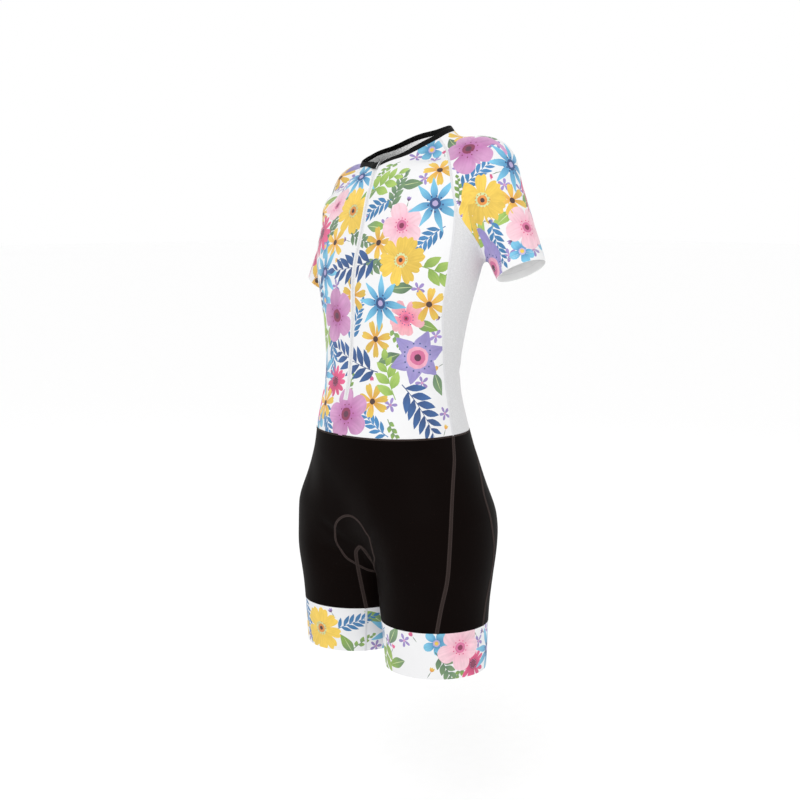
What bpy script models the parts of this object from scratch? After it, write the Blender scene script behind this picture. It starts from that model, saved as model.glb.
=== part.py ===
"""Short-sleeved triathlon suit, filled out as it is worn, with every opening empty.

The suit is cut and sewn from flat pieces, and each piece is an object of its own. All of them
lie on one smooth worn form. Sizes are in millimetres in the tables and in metres in the mesh.
x runs to the wearer's left, y to the back, and heights count up from the leg hems.
"""

import math

import bmesh
import bpy
import numpy as np
from mathutils import Matrix, Vector

MM = 0.001
COLLECTION = "triathlon_suit"

# Cloth
WALL = 1.2 * MM
SEAM_GAP = 0.3 * MM
BINDING_WALL = 2.2 * MM
BINDING_PROUD = 0.5 * MM
BINDING_HEIGHT = 8.5 * MM

# Heights above the leg hems
BAND_TOP = 74.5 * MM
WAIST_SEAM = 373 * MM
ZIP_END = 428 * MM
ORIGIN = np.array([0.0, 62.0, 783.0]) * MM

# Zip
ZIP_HALF_WIDTH = 5.0 * MM
TAPE_SUNK = 0.3 * MM
TAPE_WALL = 1.1 * MM
SLIDER_WIDTH = 6.4 * MM
SLIDER_LENGTH = 8.5 * MM
SLIDER_PLATE = 0.9 * MM
SLIDER_POST = 1.4 * MM
TAB_WIDTH = 3.6 * MM
TAB_THICKNESS = 0.8 * MM
SLIDER_EASE = 0.15 * MM
SLIDER_BITE = 0.3 * MM
GARAGE_CLEARANCE = 0.2 * MM
GARAGE_REACH = 28.0 * MM
GARAGE_OVERLAP = 3.9 * MM
GARAGE_DROP = 9.5 * MM
GARAGE_TAPER = 0.8
GARAGE_LEAST = 0.05
GARAGE_WALL = 1.0 * MM
GARAGE_BULGE = 8.5 * MM
GARAGE_BULGE_EDGE = 1.3 * MM

# The slider's plates lie over and under the tapes, and the tab lies along the upper plate.
# Each is how far out of the cloth its face is, but the last, which is how far above the tapes.
SLIDER_BACK = -TAPE_SUNK - TAPE_WALL - SEAM_GAP - SLIDER_PLATE
SLIDER_FACE = -TAPE_SUNK + SEAM_GAP
SLIDER_RISE = SLIDER_FACE + SLIDER_PLATE + TAB_THICKNESS
SLIDER_TOP = SEAM_GAP + SLIDER_POST

# The worn form. Trunk: height, half width, depth in front and depth behind the middle plane.
TRUNK_COLUMNS = ("height", "half_width", "front", "behind")
TRUNK = np.array([
    (170, 155, 87, 111),
    (250, 151, 112, 124),
    (320, 139, 129, 111),
    (385, 124, 127, 93),
    (460, 116, 110, 76),
    (540, 131, 102, 76),
    (630, 157, 98, 86),
    (700, 168, 80, 104),
    (760, 159, 65, 106),
]) * MM
TRUNK_ROUNDNESS = 2.25
TRUNK_TOP = 798 * MM
TRUNK_END_ROUNDING = 60 * MM

SHOULDER = np.array([125, 62, 783]) * MM
SHOULDER_RADIUS = 39 * MM
NECK_SIDE = np.array([36, 34, 820]) * MM
NECK_SIDE_RADIUS = 26 * MM
NECK_FOOT = np.array([0, 34, 800]) * MM
NECK_HEAD = np.array([0, 24, 950]) * MM
NECK_RADII = (50 * MM, 47 * MM)

ARM_OUT = math.radians(28)
ARM_RADII = (51 * MM, 40 * MM)
ARM_LENGTH = 171.5 * MM
SLEEVE_HEM = 172 * MM

HIP_JOINT = np.array([89.5, -15, 240]) * MM
LEG_END = np.array([98, -12, 0]) * MM
LEG_RADII = (97.5 * MM, 81 * MM)
LIMB_RUN_ON = 0.3

# How softly the parts of the form run into each other
BLEND_SHOULDER = 30 * MM
BLEND_NECK = 40 * MM
BLEND_THIGHS = 20 * MM
BLEND_HIPS = 50 * MM
BLEND_ARMPIT = (18 * MM, 690 * MM)
BLEND_ARM_TOP = (30 * MM, 745 * MM)

# The wearer lets the right shoulder hang a little lower than the left, with its arm forward:
# how far the shoulder drops and moves, and how much more the hem of the sleeve moves.
RIGHT_DROP = np.array([0, 0, -35]) * MM
RIGHT_MOVE = np.array([-12, -12, 0]) * MM
RIGHT_SWING = np.array([-8, -8, 1]) * MM

# How the neck lies on the wearer: it falls open at the right front, sinks at the right back and
# reaches out at the left. Columns: middle, how far the cloth moves there, reach, in millimetres.
NECK_MOVES = (
    ((-48, -6, 816), (-20, -20, -18), 47),
    ((-38, 64, 850), (0, 0, -12), 56),
    ((54, 46, 848), (5, 6, 3), 40),
    ((2, -36, 796), (-3, -5, 1), 30),
)

# Seams on the left side, in millimetres. Columns: out from the middle, back, height above the hems.
NECK_FRONT = (
    (0, -39, 790), (16, -29, 800), (33, -18, 807), (47, -5, 817), (61, 9, 828), (66, 17, 833),
)
NECK_SLEEVE = ((66, 17, 833), (68, 31, 840), (65, 45, 844), (58, 56, 847))
NECK_BACK = ((58, 56, 847), (46, 66, 849), (26, 75, 850), (0, 79, 850))
SIDE_FRONT = (
    (125, -4, 373), (121, -5, 399), (116, -8, 436), (118, -16, 479), (131, -33, 550),
    (141, -39, 591), (152, -39, 648), (155, -34, 688), (152, -27, 731),
)
SIDE_BACK = (
    (88, 66, 373), (82, 62, 399), (76, 58, 436), (78, 57, 479), (86, 61, 550),
    (92, 65, 591), (98, 72, 648), (107, 77, 680), (121, 90, 706), (134, 104, 727),
)
RAGLAN_FRONT = ((152, -27, 731), (142, -24, 757), (126, -13, 787), (98, 7, 811), (77, 14, 828))
RAGLAN_BACK = ((134, 104, 727), (130, 111, 757), (113, 112, 788), (88, 101, 815))
UNDERARM = (
    (152, -27, 731), (160, -23, 709), (165, -11, 691), (166, 2, 677), (164, 14, 663), (159, 26, 650),
    (151, 39, 645), (144, 50, 650), (138, 60, 660), (134, 74, 678), (132, 90, 700), (134, 104, 727),
)
SHORTS_FRONT_SIDE = (
    (125, -4, 373), (141, -15, 345), (162, -37, 309), (176, -56, 258), (175, -60, 211),
    (171, -62, 160), (165, -67, 117), (159, -71, 74.5),
)
SHORTS_REAR_SIDE = (
    (88, 66, 373), (118, 58, 345), (145, 43, 316), (170, 28, 281), (179, 29, 240), (176, 36, 194),
    (176, 30, 155), (176, 20, 117), (177, 13, 74.5),
)
INSEAM_FRONT = (
    (0, -87, 188), (10, -86, 181), (19, -80, 168), (22, -73, 148), (23, -68, 128), (21, -56, 74.5),
)
INSEAM_BACK = ((0, 62, 160), (12, 62, 148), (20, 58, 130), (23, 52, 110), (21, 42, 74.5))
CROTCH = ((0, -87, 188), (0, -60, 163), (0, -20, 148), (0, 24, 147), (0, 62, 160))
SEAT_MIDDLE = ((0, 80, 373), (0, 112, 310), (0, 124, 250), (0, 112, 200), (0, 62, 160))

# The waist's own middle, and rough places from which the ends of seams settle onto the form.
WAIST_MIDDLE = np.array([0, -17]) * MM
WAIST_FRONT = (0, -120 * MM, WAIST_SEAM)
WAIST_BACK = (0, 80 * MM, WAIST_SEAM)

# How many quads run along each seam and across each piece
ROWS_SIDE = 15
ROWS_RAGLAN = 8
ROWS_ZIP_FOOT = 3
ROWS_CENTRE = 10
ROWS_INSEAM = 6
ROWS_BAND = 4
ROWS_BINDING = 2
ROWS_SLEEVE = 12
COLUMNS_BODY = 9
COLUMNS_SIDE = 11
COLUMNS_NECK = 4
COLUMNS_SHORTS = 9
COLUMNS_SHORTS_SIDE = 5
COLUMNS_CROTCH = 6
COLUMNS_GARAGE = 12
ROWS_GARAGE = 5
PANEL_RELAXING = 12
SLEEVE_RELAXING = 6
SLEEVE_LEAVE = 0.7
SLEEVE_ARRIVE = 1.0
SLEEVE_INSIDE = 0.45

PRINT_WHITE = (0.95, 0.94, 0.93)
SIDE_WHITE = (0.80, 0.80, 0.81)
BLACK = (0.012, 0.008, 0.008)
TAPE_GREY = (0.70, 0.70, 0.71)
SLIDER_GREY = (0.05, 0.05, 0.055)


# ---------------------------------------------------------------- the worn form


def eased(share):
    share = np.clip(share, 0, 1)
    return share * share * (3 - 2 * share)


def soft_min(first, second, reach):
    """The smaller of two distances, rounded off where they are within reach of each other."""
    share = np.clip(0.5 + 0.5 * (second - first) / reach, 0, 1)
    return second + (first - second) * share - reach * share * (1 - share)


def smooth_row(heights, column):
    """A trunk measure at each height, on a smooth curve through the table."""
    table = TRUNK[:, 0]
    values = TRUNK[:, TRUNK_COLUMNS.index(column)]
    slopes = np.gradient(values, table)
    heights = np.clip(heights, table[0], table[-1])
    row = np.clip(np.searchsorted(table, heights) - 1, 0, len(table) - 2)
    step = table[row + 1] - table[row]
    t = (heights - table[row]) / step
    start = (2 * t**3 - 3 * t**2 + 1) * values[row] + (t**3 - 2 * t**2 + t) * step * slopes[row]
    end = (3 * t**2 - 2 * t**3) * values[row + 1] + (t**3 - t**2) * step * slopes[row + 1]
    return start + end


def trunk(points):
    """Distance to the trunk, a stack of rounded ovals with softened ends."""
    x, y, z = points.T
    half_width = smooth_row(z, "half_width")
    front = smooth_row(z, "front")
    behind = smooth_row(z, "behind")
    half_depth = (front + behind) / 2
    across = y - (behind - front) / 2
    power = TRUNK_ROUNDNESS
    ratio = (np.abs(x / half_width) ** power + np.abs(across / half_depth) ** power) ** (1 / power)
    radius = np.hypot(x, across)
    sideways = np.where(radius < MM, -half_depth, radius - radius / np.maximum(ratio, 1e-6))
    sideways += TRUNK_END_ROUNDING
    bottom = TRUNK[0, 0]
    middle = (TRUNK_TOP + bottom) / 2
    upright = np.abs(z - middle) - (TRUNK_TOP - bottom) / 2 + TRUNK_END_ROUNDING
    inside = np.minimum(np.maximum(sideways, upright), 0)
    outside = np.hypot(np.maximum(sideways, 0), np.maximum(upright, 0))
    return inside + outside - TRUNK_END_ROUNDING


def limb(points, start, end, radii, run_on=0.0):
    """Distance to a tapered round limb from start to end, which may run on past its end."""
    along = end - start
    share = np.clip((points - start) @ along / (along @ along), 0, 1 + run_on)
    gap = np.linalg.norm(points - start - share[:, None] * along, axis=1)
    return gap - (radii[0] + (radii[1] - radii[0]) * share)


def mirrored(point, side):
    return point * np.array([side, 1, 1])


def arm_direction(side):
    return np.array([side * math.sin(ARM_OUT), 0.0, -math.cos(ARM_OUT)])


def arm_blend(heights):
    """The arms run softly into the shoulders and more tightly into the body below them."""
    low, low_height = BLEND_ARMPIT
    high, high_height = BLEND_ARM_TOP
    return low + (high - low) * eased((heights - low_height) / (high_height - low_height))


def form(points):
    """Distance from each point to the worn form, negative inside it."""
    body = trunk(points)
    for side in (-1, 1):
        neck_side = mirrored(NECK_SIDE, side)
        yoke = limb(points, neck_side, mirrored(SHOULDER, side), (NECK_SIDE_RADIUS, SHOULDER_RADIUS))
        body = soft_min(body, yoke, BLEND_SHOULDER)
    body = soft_min(body, limb(points, NECK_FOOT, NECK_HEAD, NECK_RADII), BLEND_NECK)
    right, left = (
        limb(points, mirrored(HIP_JOINT, side), mirrored(LEG_END, side), LEG_RADII, LIMB_RUN_ON)
        for side in (-1, 1)
    )
    body = soft_min(body, soft_min(right, left, BLEND_THIGHS), BLEND_HIPS)
    for side in (-1, 1):
        shoulder = mirrored(SHOULDER, side)
        elbow = shoulder + arm_direction(side) * ARM_LENGTH
        arm = limb(points, shoulder, elbow, ARM_RADII, LIMB_RUN_ON)
        body = soft_min(body, arm, arm_blend(points[:, 2]))
    return body


def slope(points, step=0.4 * MM):
    """How the form's distance grows along x, y and z, by central differences."""
    columns = []
    for axis in range(3):
        move = np.zeros(3)
        move[axis] = step
        columns.append((form(points + move) - form(points - move)) / (2 * step))
    return np.stack(columns, axis=1)


def outward(points):
    grown = slope(points)
    return grown / np.linalg.norm(grown, axis=1)[:, None]


def settle(points, free=(1, 1, 1), rounds=8):
    """Moves points onto the form, along the axes that are free."""
    shape = points.shape
    points = points.reshape(-1, 3).copy()
    for _ in range(rounds):
        way = slope(points) * np.array(free)
        reach = form(points) / np.maximum((way**2).sum(axis=1), 0.05)
        points -= np.clip(reach, -20 * MM, 20 * MM)[:, None] * way
    return points.reshape(shape)


def between(values, low, high):
    return eased((values - low * MM) / ((high - low) * MM))


def either(first, second):
    """Joins two shares from 0 to 1 smoothly, and is at least the larger."""
    return 1 - (1 - first) * (1 - second)


def neck_moved(points):
    """How far each point moves with the neck."""
    moved = np.zeros_like(points)
    for middle, move, reach in NECK_MOVES:
        gap = np.linalg.norm(points / MM - middle, axis=1) / reach
        moved += np.exp(-gap**2)[:, None] * np.array(move) * MM
    return moved


def hang(points):
    """Lets the right shoulder and its sleeve down, out and a little forward, and the neck open.

    It is smooth and fades out over the chest, so pieces that meet still meet.
    """
    out = -points[:, 0]
    height = points[:, 2]
    arm = between(height, 500, 560)
    dropped = either(between(out, 20, 125) * between(height, 670, 790), between(out, 120, 190) * arm)
    moved = either(between(out, 85, 145) * between(height, 700, 780), between(out, 140, 190) * arm)
    swung = between(out, 120, 190) * arm * np.clip((770 * MM - height) / (160 * MM), 0, 1)
    hung = points + neck_moved(points)
    for share, move in ((dropped, RIGHT_DROP), (moved, RIGHT_MOVE), (swung, RIGHT_SWING)):
        hung += share[:, None] * move
    return hung


# ---------------------------------------------------------------- seams


def evenly(points, count):
    """count + 1 points, evenly spaced along the line through the given ones."""
    reach = np.concatenate([[0], np.cumsum(np.linalg.norm(np.diff(points, axis=0), axis=1))])
    wanted = np.linspace(0, reach[-1], count + 1)
    return np.stack([np.interp(wanted, reach, points[:, axis]) for axis in range(3)], axis=1)


def smooth_line(knots, samples=16):
    """A smooth curve through the knots (Catmull-Rom)."""
    knots = np.asarray(knots, float)
    before = 2 * knots[0] - knots[1]
    after = 2 * knots[-1] - knots[-2]
    p = np.vstack([before, knots, after])
    t = np.linspace(0, 1, samples, endpoint=False)[:, None]
    runs = []
    for i in range(1, len(p) - 2):
        a, b, c, d = p[i - 1], p[i], p[i + 1], p[i + 2]
        bend = 2 * a - 5 * b + 4 * c - d + t * (3 * (b - c) + d - a)
        runs.append(b + 0.5 * t * (c - a + t * bend))
    return np.vstack(runs + [knots[-1:]])


def seam(knots, count, ends=(None, None), start_x=None):
    """A seam on the form through a table's knots, with its ends set where they are given."""
    line = settle(smooth_line(np.asarray(knots, float) * MM))
    if start_x is not None:
        kept = line[line[:, 0] > start_x]
        first = settle(np.array([[start_x, *kept[0, 1:]]]), (0, 1, 1))
        line = np.vstack([first, kept])
    points = settle(evenly(line, count))
    for index, end in zip((0, -1), ends):
        if end is not None:
            points[index] = end
    return points


def level_run(start, end, count, centre, height):
    """A seam at one height, swept about a vertical line through centre from start to end."""
    first = math.atan2(start[1] - centre[1], start[0] - centre[0])
    last = math.atan2(end[1] - centre[1], end[0] - centre[0])
    last += 2 * math.pi * round((first - last) / (2 * math.pi))
    angles = np.linspace(first, last, 8 * count + 1)
    radii = np.linspace(math.dist(start[:2], centre), math.dist(end[:2], centre), len(angles))
    line = np.stack([
        centre[0] + radii * np.cos(angles),
        centre[1] + radii * np.sin(angles),
        np.full(len(angles), height),
    ], axis=1)
    points = settle(evenly(settle(line, (1, 1, 0)), count), (1, 1, 0))
    points[0] = start
    points[-1] = end
    return points


def centre_line(start, end, count, x=0.0):
    """A line on the form at one x, between two points."""
    t = np.linspace(0, 1, 8 * count + 1)[:, None]
    line = start + (end - start) * t
    line[:, 0] = x
    points = settle(evenly(settle(line, (0, 1, 1)), count), (0, 1, 1))
    points[0] = start
    points[-1] = end
    return points


# ---------------------------------------------------------------- surfaces


def patch(bottom, top, first, last):
    """A grid between four seams that share their corners, laid on the form and evened out."""
    u = np.linspace(0, 1, len(bottom))[None, :, None]
    v = np.linspace(0, 1, len(first))[:, None, None]
    ruled = (1 - v) * bottom + v * top + (1 - u) * first[:, None] + u * last[:, None]
    low = (1 - u) * bottom[0] + u * bottom[-1]
    high = (1 - u) * top[0] + u * top[-1]
    corners = (1 - v) * low + v * high
    grid = ruled - corners
    grid[0], grid[-1], grid[:, 0], grid[:, -1] = bottom, top, first, last
    for _ in range(PANEL_RELAXING):
        grid[1:-1, 1:-1] = settle(grid[1:-1, 1:-1], rounds=2)
        around = grid[:-2, 1:-1] + grid[2:, 1:-1] + grid[1:-1, :-2] + grid[1:-1, 2:]
        grid[1:-1, 1:-1] = (grid[1:-1, 1:-1] + around / 4) / 2
    grid[1:-1, 1:-1] = settle(grid[1:-1, 1:-1])
    return grid


def flipped(grid):
    """The grid mirrored to the other side of the suit."""
    return grid * np.array([-1, 1, 1])


def sheet_from(grids, join=0.01 * MM):
    """One open sheet from grids whose shared edges are the same points, faces pointing out."""
    bm = bmesh.new()
    for grid in grids:
        rows, columns = grid.shape[:2]
        verts = [[bm.verts.new(grid[i, j]) for j in range(columns)] for i in range(rows)]
        for i in range(rows - 1):
            for j in range(columns - 1):
                bm.faces.new((verts[i][j], verts[i][j + 1], verts[i + 1][j + 1], verts[i + 1][j]))
    bmesh.ops.remove_doubles(bm, verts=bm.verts, dist=join)
    bmesh.ops.recalc_face_normals(bm, faces=bm.faces)
    bm.normal_update()
    bm.verts.index_update()
    return bm


def face_outwards(bm):
    """Turns the whole sheet over if its faces point into the form."""
    faces = list(bm.faces)
    middles = np.array([face.calc_center_median() for face in faces])
    normals = np.array([face.normal for face in faces])
    if (outward(middles) * normals).sum() < 0:
        bmesh.ops.reverse_faces(bm, faces=faces)
        bm.normal_update()


def draw_in_edges(bm, distance):
    """Moves the sheet's edge inwards along its faces, which leaves the gap at a seam."""
    pulls = {}
    for edge in bm.edges:
        if len(edge.link_faces) != 1:
            continue
        face = edge.link_faces[0]
        along = (edge.verts[1].co - edge.verts[0].co).normalized()
        inwards = face.normal.cross(along).normalized()
        if inwards.dot(face.calc_center_median() - edge.verts[0].co) < 0:
            inwards.negate()
        for vert in edge.verts:
            pulls.setdefault(vert, []).append(inwards)
    for vert, ways in pulls.items():
        total = sum(ways, Vector())
        spread = 1 + (ways[0].dot(ways[1]) if len(ways) == 2 else 0)
        vert.co += total * distance / max(spread, 0.4)


def thicken(bm, wall, proud=0.0):
    """Makes the sheet a closed wall, whose outside is proud of the form by one or many distances.

    Both sides of a seam lean along the same normals of the form.
    """
    verts = list(bm.verts)
    faces = list(bm.faces)
    rims = [(edge, edge.link_faces[0]) for edge in bm.edges if len(edge.link_faces) == 1]
    points = np.array([vert.co for vert in verts])
    normals = outward(points)
    inner = {}
    for vert, point, normal, lift in zip(verts, points, normals, np.broadcast_to(proud, len(verts))):
        vert.co = point + normal * lift
        inner[vert] = bm.verts.new(point + normal * (lift - wall))
    for face in faces:
        bm.faces.new([inner[vert] for vert in reversed(face.verts)])
    for edge, face in rims:
        loop = next(loop for loop in face.loops if loop.edge == edge)
        start, end = loop.vert, loop.link_loop_next.vert
        bm.faces.new((end, start, inner[start], inner[end]))


def add_material(name, colour, roughness, metallic=0.0):
    material = bpy.data.materials.get(name) or bpy.data.materials.new(name)
    material.use_nodes = True
    shader = material.node_tree.nodes["Principled BSDF"]
    shader.inputs["Base Color"].default_value = (*colour, 1)
    shader.inputs["Roughness"].default_value = roughness
    shader.inputs["Metallic"].default_value = metallic
    return material


def add_object(name, bm, material):
    """Puts a finished mesh in the suit's collection, in the suit's own frame."""
    verts = list(bm.verts)
    placed = hang(np.array([vert.co for vert in verts])) - ORIGIN
    for vert, place in zip(verts, placed):
        vert.co = place
    mesh = bpy.data.meshes.new(name)
    bm.to_mesh(mesh)
    bm.free()
    mesh.shade_smooth()
    mesh.set_sharp_from_angle(angle=math.radians(50))
    mesh.materials.append(material)
    piece = bpy.data.objects.new(name, mesh)
    bpy.data.collections[COLLECTION].objects.link(piece)
    return piece


def add_cloth(name, grids, material, wall=WALL, proud=0.0, half=0):
    """A cloth node. One that is half of a pair, left +1 or right -1, stays on its side of the middle."""
    bm = sheet_from(grids)
    face_outwards(bm)
    draw_in_edges(bm, SEAM_GAP / 2)
    thicken(bm, wall, proud)
    if half:
        for vert in bm.verts:
            vert.co.x = half * max(half * vert.co.x, SEAM_GAP / 2)
    return add_object(name, bm, material)


# ---------------------------------------------------------------- the pieces


def upper_seams():
    """The seams of the body and the left sleeve, as named lines of points."""
    s = {}
    s["neck_front"] = seam(NECK_FRONT, COLUMNS_BODY, start_x=ZIP_HALF_WIDTH)
    s["neck_sleeve"] = seam(NECK_SLEEVE, COLUMNS_NECK, (s["neck_front"][-1], None))
    s["neck_back"] = seam(NECK_BACK, COLUMNS_BODY, (s["neck_sleeve"][-1], None))
    s["neck_back"][-1, 0] = 0.0
    s["side_front"] = seam(SIDE_FRONT, ROWS_SIDE)
    s["side_back"] = seam(SIDE_BACK, ROWS_SIDE)
    for name in ("side_front", "side_back"):
        s[name][0] = settle(np.array([[*s[name][0, :2], WAIST_SEAM]]), (1, 1, 0))[0]
    raglan_front = RAGLAN_FRONT + (tuple(s["neck_front"][-1] / MM),)
    raglan_back = RAGLAN_BACK + (tuple(s["neck_back"][0] / MM),)
    s["raglan_front"] = seam(raglan_front, ROWS_RAGLAN, (s["side_front"][-1], s["neck_front"][-1]))
    s["raglan_back"] = seam(raglan_back, ROWS_RAGLAN, (s["side_back"][-1], s["neck_back"][0]))
    s["underarm"] = seam(UNDERARM, COLUMNS_SIDE, (s["side_front"][-1], s["side_back"][-1]))
    guess = np.array([
        (ZIP_HALF_WIDTH, *WAIST_FRONT[1:]),
        (ZIP_HALF_WIDTH, WAIST_FRONT[1], ZIP_END),
        WAIST_FRONT,
        (0, WAIST_FRONT[1], ZIP_END),
        WAIST_BACK,
    ])
    zip_foot, zip_end, middle_foot, middle_end, back_foot = settle(guess, (0, 1, 0))
    foot = centre_line(zip_foot, zip_end, ROWS_ZIP_FOOT, ZIP_HALF_WIDTH)
    rows_above = ROWS_SIDE + ROWS_RAGLAN - ROWS_ZIP_FOOT
    edge = centre_line(zip_end, s["neck_front"][0], rows_above, ZIP_HALF_WIDTH)
    s["zip_edge"] = edge
    s["zip_side"] = np.vstack([foot, edge[1:]])
    s["middle_foot"] = centre_line(middle_foot, middle_end, ROWS_ZIP_FOOT)
    s["zip_foot"] = foot
    s["centre_back"] = centre_line(back_foot, s["neck_back"][-1], ROWS_SIDE + ROWS_RAGLAN)
    ends = (zip_foot, s["side_front"][0], s["side_back"][0], back_foot)
    names = ("waist_front", "waist_side", "waist_back")
    for name, start, end, count in zip(names, ends, ends[1:], (COLUMNS_BODY, COLUMNS_SIDE, COLUMNS_BODY)):
        s[name] = level_run(start, end, count, WAIST_MIDDLE, WAIST_SEAM)
    return s


def front_grids(s):
    outer = np.vstack([s["side_front"], s["raglan_front"][1:]])
    main = patch(s["waist_front"], s["neck_front"], s["zip_side"], outer)
    foot = np.stack([flipped(s["zip_foot"]), s["middle_foot"], s["zip_foot"]], axis=1)
    return [main, flipped(main), foot]


def back_grids(s):
    outer = np.vstack([s["side_back"], s["raglan_back"][1:]])
    main = patch(s["waist_back"], s["neck_back"], outer, s["centre_back"])
    return [main, flipped(main)]


def side_grid(s):
    return patch(s["waist_side"], s["underarm"], s["side_front"], s["side_back"])


def arm_axes():
    """Directions square to the left arm: over it, and to its front."""
    along = arm_direction(1)
    top = np.cross(along, (0, 1, 0))
    top /= np.linalg.norm(top)
    return top, np.cross(along, top)


def sleeve_turns(loop):
    """How far round the arm each lengthwise line runs, from the top over the front.

    Under the arm it follows the seam, and over the shoulder it is spread evenly.
    """
    top, front = arm_axes()
    first = COLUMNS_NECK // 2 + ROWS_RAGLAN
    last = first + COLUMNS_SIDE
    under = loop[first:last + 1] - SHOULDER
    angles = np.unwrap(np.arctan2(under @ front, under @ top))
    over_front = np.linspace(0, angles[0], first + 1)
    over_back = np.linspace(angles[-1], 2 * math.pi, len(loop) - last)
    return np.concatenate([over_front[:-1], angles, over_back[1:]])


def sleeve_hem_ring(turns, reach):
    """A ring around the left arm, square to it, at a reach from the shoulder."""
    top, front = arm_axes()
    ways = np.cos(turns)[:, None] * top + np.sin(turns)[:, None] * front
    middle = SHOULDER + arm_direction(1) * reach
    radii = np.full(len(ways), ARM_RADII[1])
    for _ in range(12):
        radii -= form(middle + ways * radii[:, None]) * 0.8
    return middle + ways * radii[:, None]


def sleeve_grid(s):
    """The left sleeve, in rings from the raglan seam to the hem."""
    loop = np.vstack([
        s["neck_sleeve"][COLUMNS_NECK // 2::-1],
        s["raglan_front"][::-1][1:],
        s["underarm"][1:],
        s["raglan_back"][1:],
        s["neck_sleeve"][::-1][1:COLUMNS_NECK // 2 + 1],
    ])
    hem = sleeve_hem_ring(sleeve_turns(loop), SLEEVE_HEM)
    lines = settle(sleeve_rings(loop, hem))
    columns = [evenly(lines[:, column], ROWS_SLEEVE) for column in range(len(loop))]
    grid = np.stack(columns, axis=1)
    for _ in range(SLEEVE_RELAXING):
        grid[1:-1, :-1] = settle(grid[1:-1, :-1], rounds=2)
        inner = grid[:, :-1]
        around = inner[:-2] + inner[2:] + np.roll(inner, 1, axis=1)[1:-1] + np.roll(inner, -1, axis=1)[1:-1]
        grid[1:-1, :-1] = (inner[1:-1] + around / 4) / 2
    grid[1:-1, :-1] = settle(grid[1:-1, :-1])
    grid[:, -1] = grid[:, 0]
    return grid


def sleeve_rings(loop, hem):
    """Rings from the seam to the hem, kept inside the arm so that they settle onto its skin.

    Each lengthwise line leaves the seam square to it.
    """
    along_loop = np.roll(loop[:-1], -1, axis=0) - np.roll(loop[:-1], 1, axis=0)
    along_loop = np.vstack([along_loop, along_loop[:1]])
    leave = np.cross(along_loop, outward(loop))
    leave *= np.sign((leave * (hem - loop)).sum())
    leave /= np.linalg.norm(leave, axis=1)[:, None]
    reach = np.linalg.norm(hem - loop, axis=1)[:, None]
    t = np.linspace(0, 1, 4 * ROWS_SLEEVE + 1)[:, None, None]
    start = (2 * t**3 - 3 * t**2 + 1) * loop + (t**3 - 2 * t**2 + t) * leave * reach * SLEEVE_LEAVE
    end = (3 * t**2 - 2 * t**3) * hem + (t**3 - t**2) * arm_direction(1) * reach * SLEEVE_ARRIVE
    rings = start + end
    along = arm_direction(1)
    down = np.clip((rings - SHOULDER) @ along, 0, None)
    core = SHOULDER + down[:, :, None] * along
    return rings + (core - rings) * SLEEVE_INSIDE * np.sin(math.pi * t) ** 0.5


def neck_edge(s):
    """The whole neck edge, from the left side of the zip round the back to its right side."""
    left = np.vstack([s["neck_front"], s["neck_sleeve"][1:], s["neck_back"][1:]])
    return np.vstack([left, flipped(left)[::-1][1:]])


def raised(line, height):
    """The line moved up the form by a height."""
    along = np.gradient(line, axis=0)
    up = np.cross(outward(line), along)
    up *= np.sign(up[:, 2:3]) / np.linalg.norm(up, axis=1)[:, None]
    up[[0, -1], 0] = 0
    return settle(line + up * height, (1, 1, 0.2))


def binding_grid(s):
    """The neck binding, one level above the next."""
    edge = neck_edge(s)
    heights = np.linspace(0, BINDING_HEIGHT, ROWS_BINDING + 1)
    rows = [edge] + [raised(edge, height) for height in heights[1:]]
    for row in rows:
        row[0, 0] = ZIP_HALF_WIDTH
        row[-1, 0] = -ZIP_HALF_WIDTH
    return np.stack(rows)


def tape_grid(s, top):
    """The left zip tape, from the foot of the slit to the top of the binding."""
    outer = np.vstack([s["zip_edge"], [top]])
    inner = outer.copy()
    inner[:, 0] = 0.0
    return np.stack([settle(inner, (0, 1, 0)), outer], axis=1)


def garage_grid(s, binding):
    """A patch over the zip's top end and the right end of the binding, bulged over the slider."""
    across = np.linspace(GARAGE_OVERLAP, -GARAGE_REACH, COLUMNS_GARAGE + 1)
    right_top = at_each_x(binding[-1], across)
    right_low = at_each_x(binding[0], across)
    share = (across + GARAGE_REACH) / (GARAGE_OVERLAP + GARAGE_REACH)
    drop = GARAGE_DROP * np.clip(share, GARAGE_LEAST, 1) ** GARAGE_TAPER
    down = right_low - right_top
    down /= np.linalg.norm(down, axis=1)[:, None]
    bottom = right_low + down * drop[:, None]
    v = np.linspace(0, 1, ROWS_GARAGE + 1)[:, None, None]
    return settle(bottom * (1 - v) + right_top * v, (0, 1, 0.2))


def at_each_x(row, wanted):
    """Points at the wanted values of x along the right end of a row round the neck."""
    near = row[::-1][:COLUMNS_BODY + 1]
    points = np.stack([np.interp(-wanted, -near[:, 0], near[:, axis]) for axis in range(3)], axis=1)
    points[:, 0] = wanted
    return points


def add_garage(s, binding, material):
    """The garage lies over the binding, and stands further out over the slider."""
    bm = sheet_from([garage_grid(s, binding)])
    face_outwards(bm)
    across = np.array([vert.co.x for vert in bm.verts])
    over_slider = 1 / (1 + np.exp((np.abs(across) - GARAGE_BULGE) / GARAGE_BULGE_EDGE))
    proud = BINDING_PROUD + SEAM_GAP + GARAGE_WALL
    thicken(bm, GARAGE_WALL, proud + over_slider * (GARAGE_CLEARANCE + SLIDER_RISE - BINDING_PROUD))
    return add_object("zip_garage", bm, material)


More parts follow.
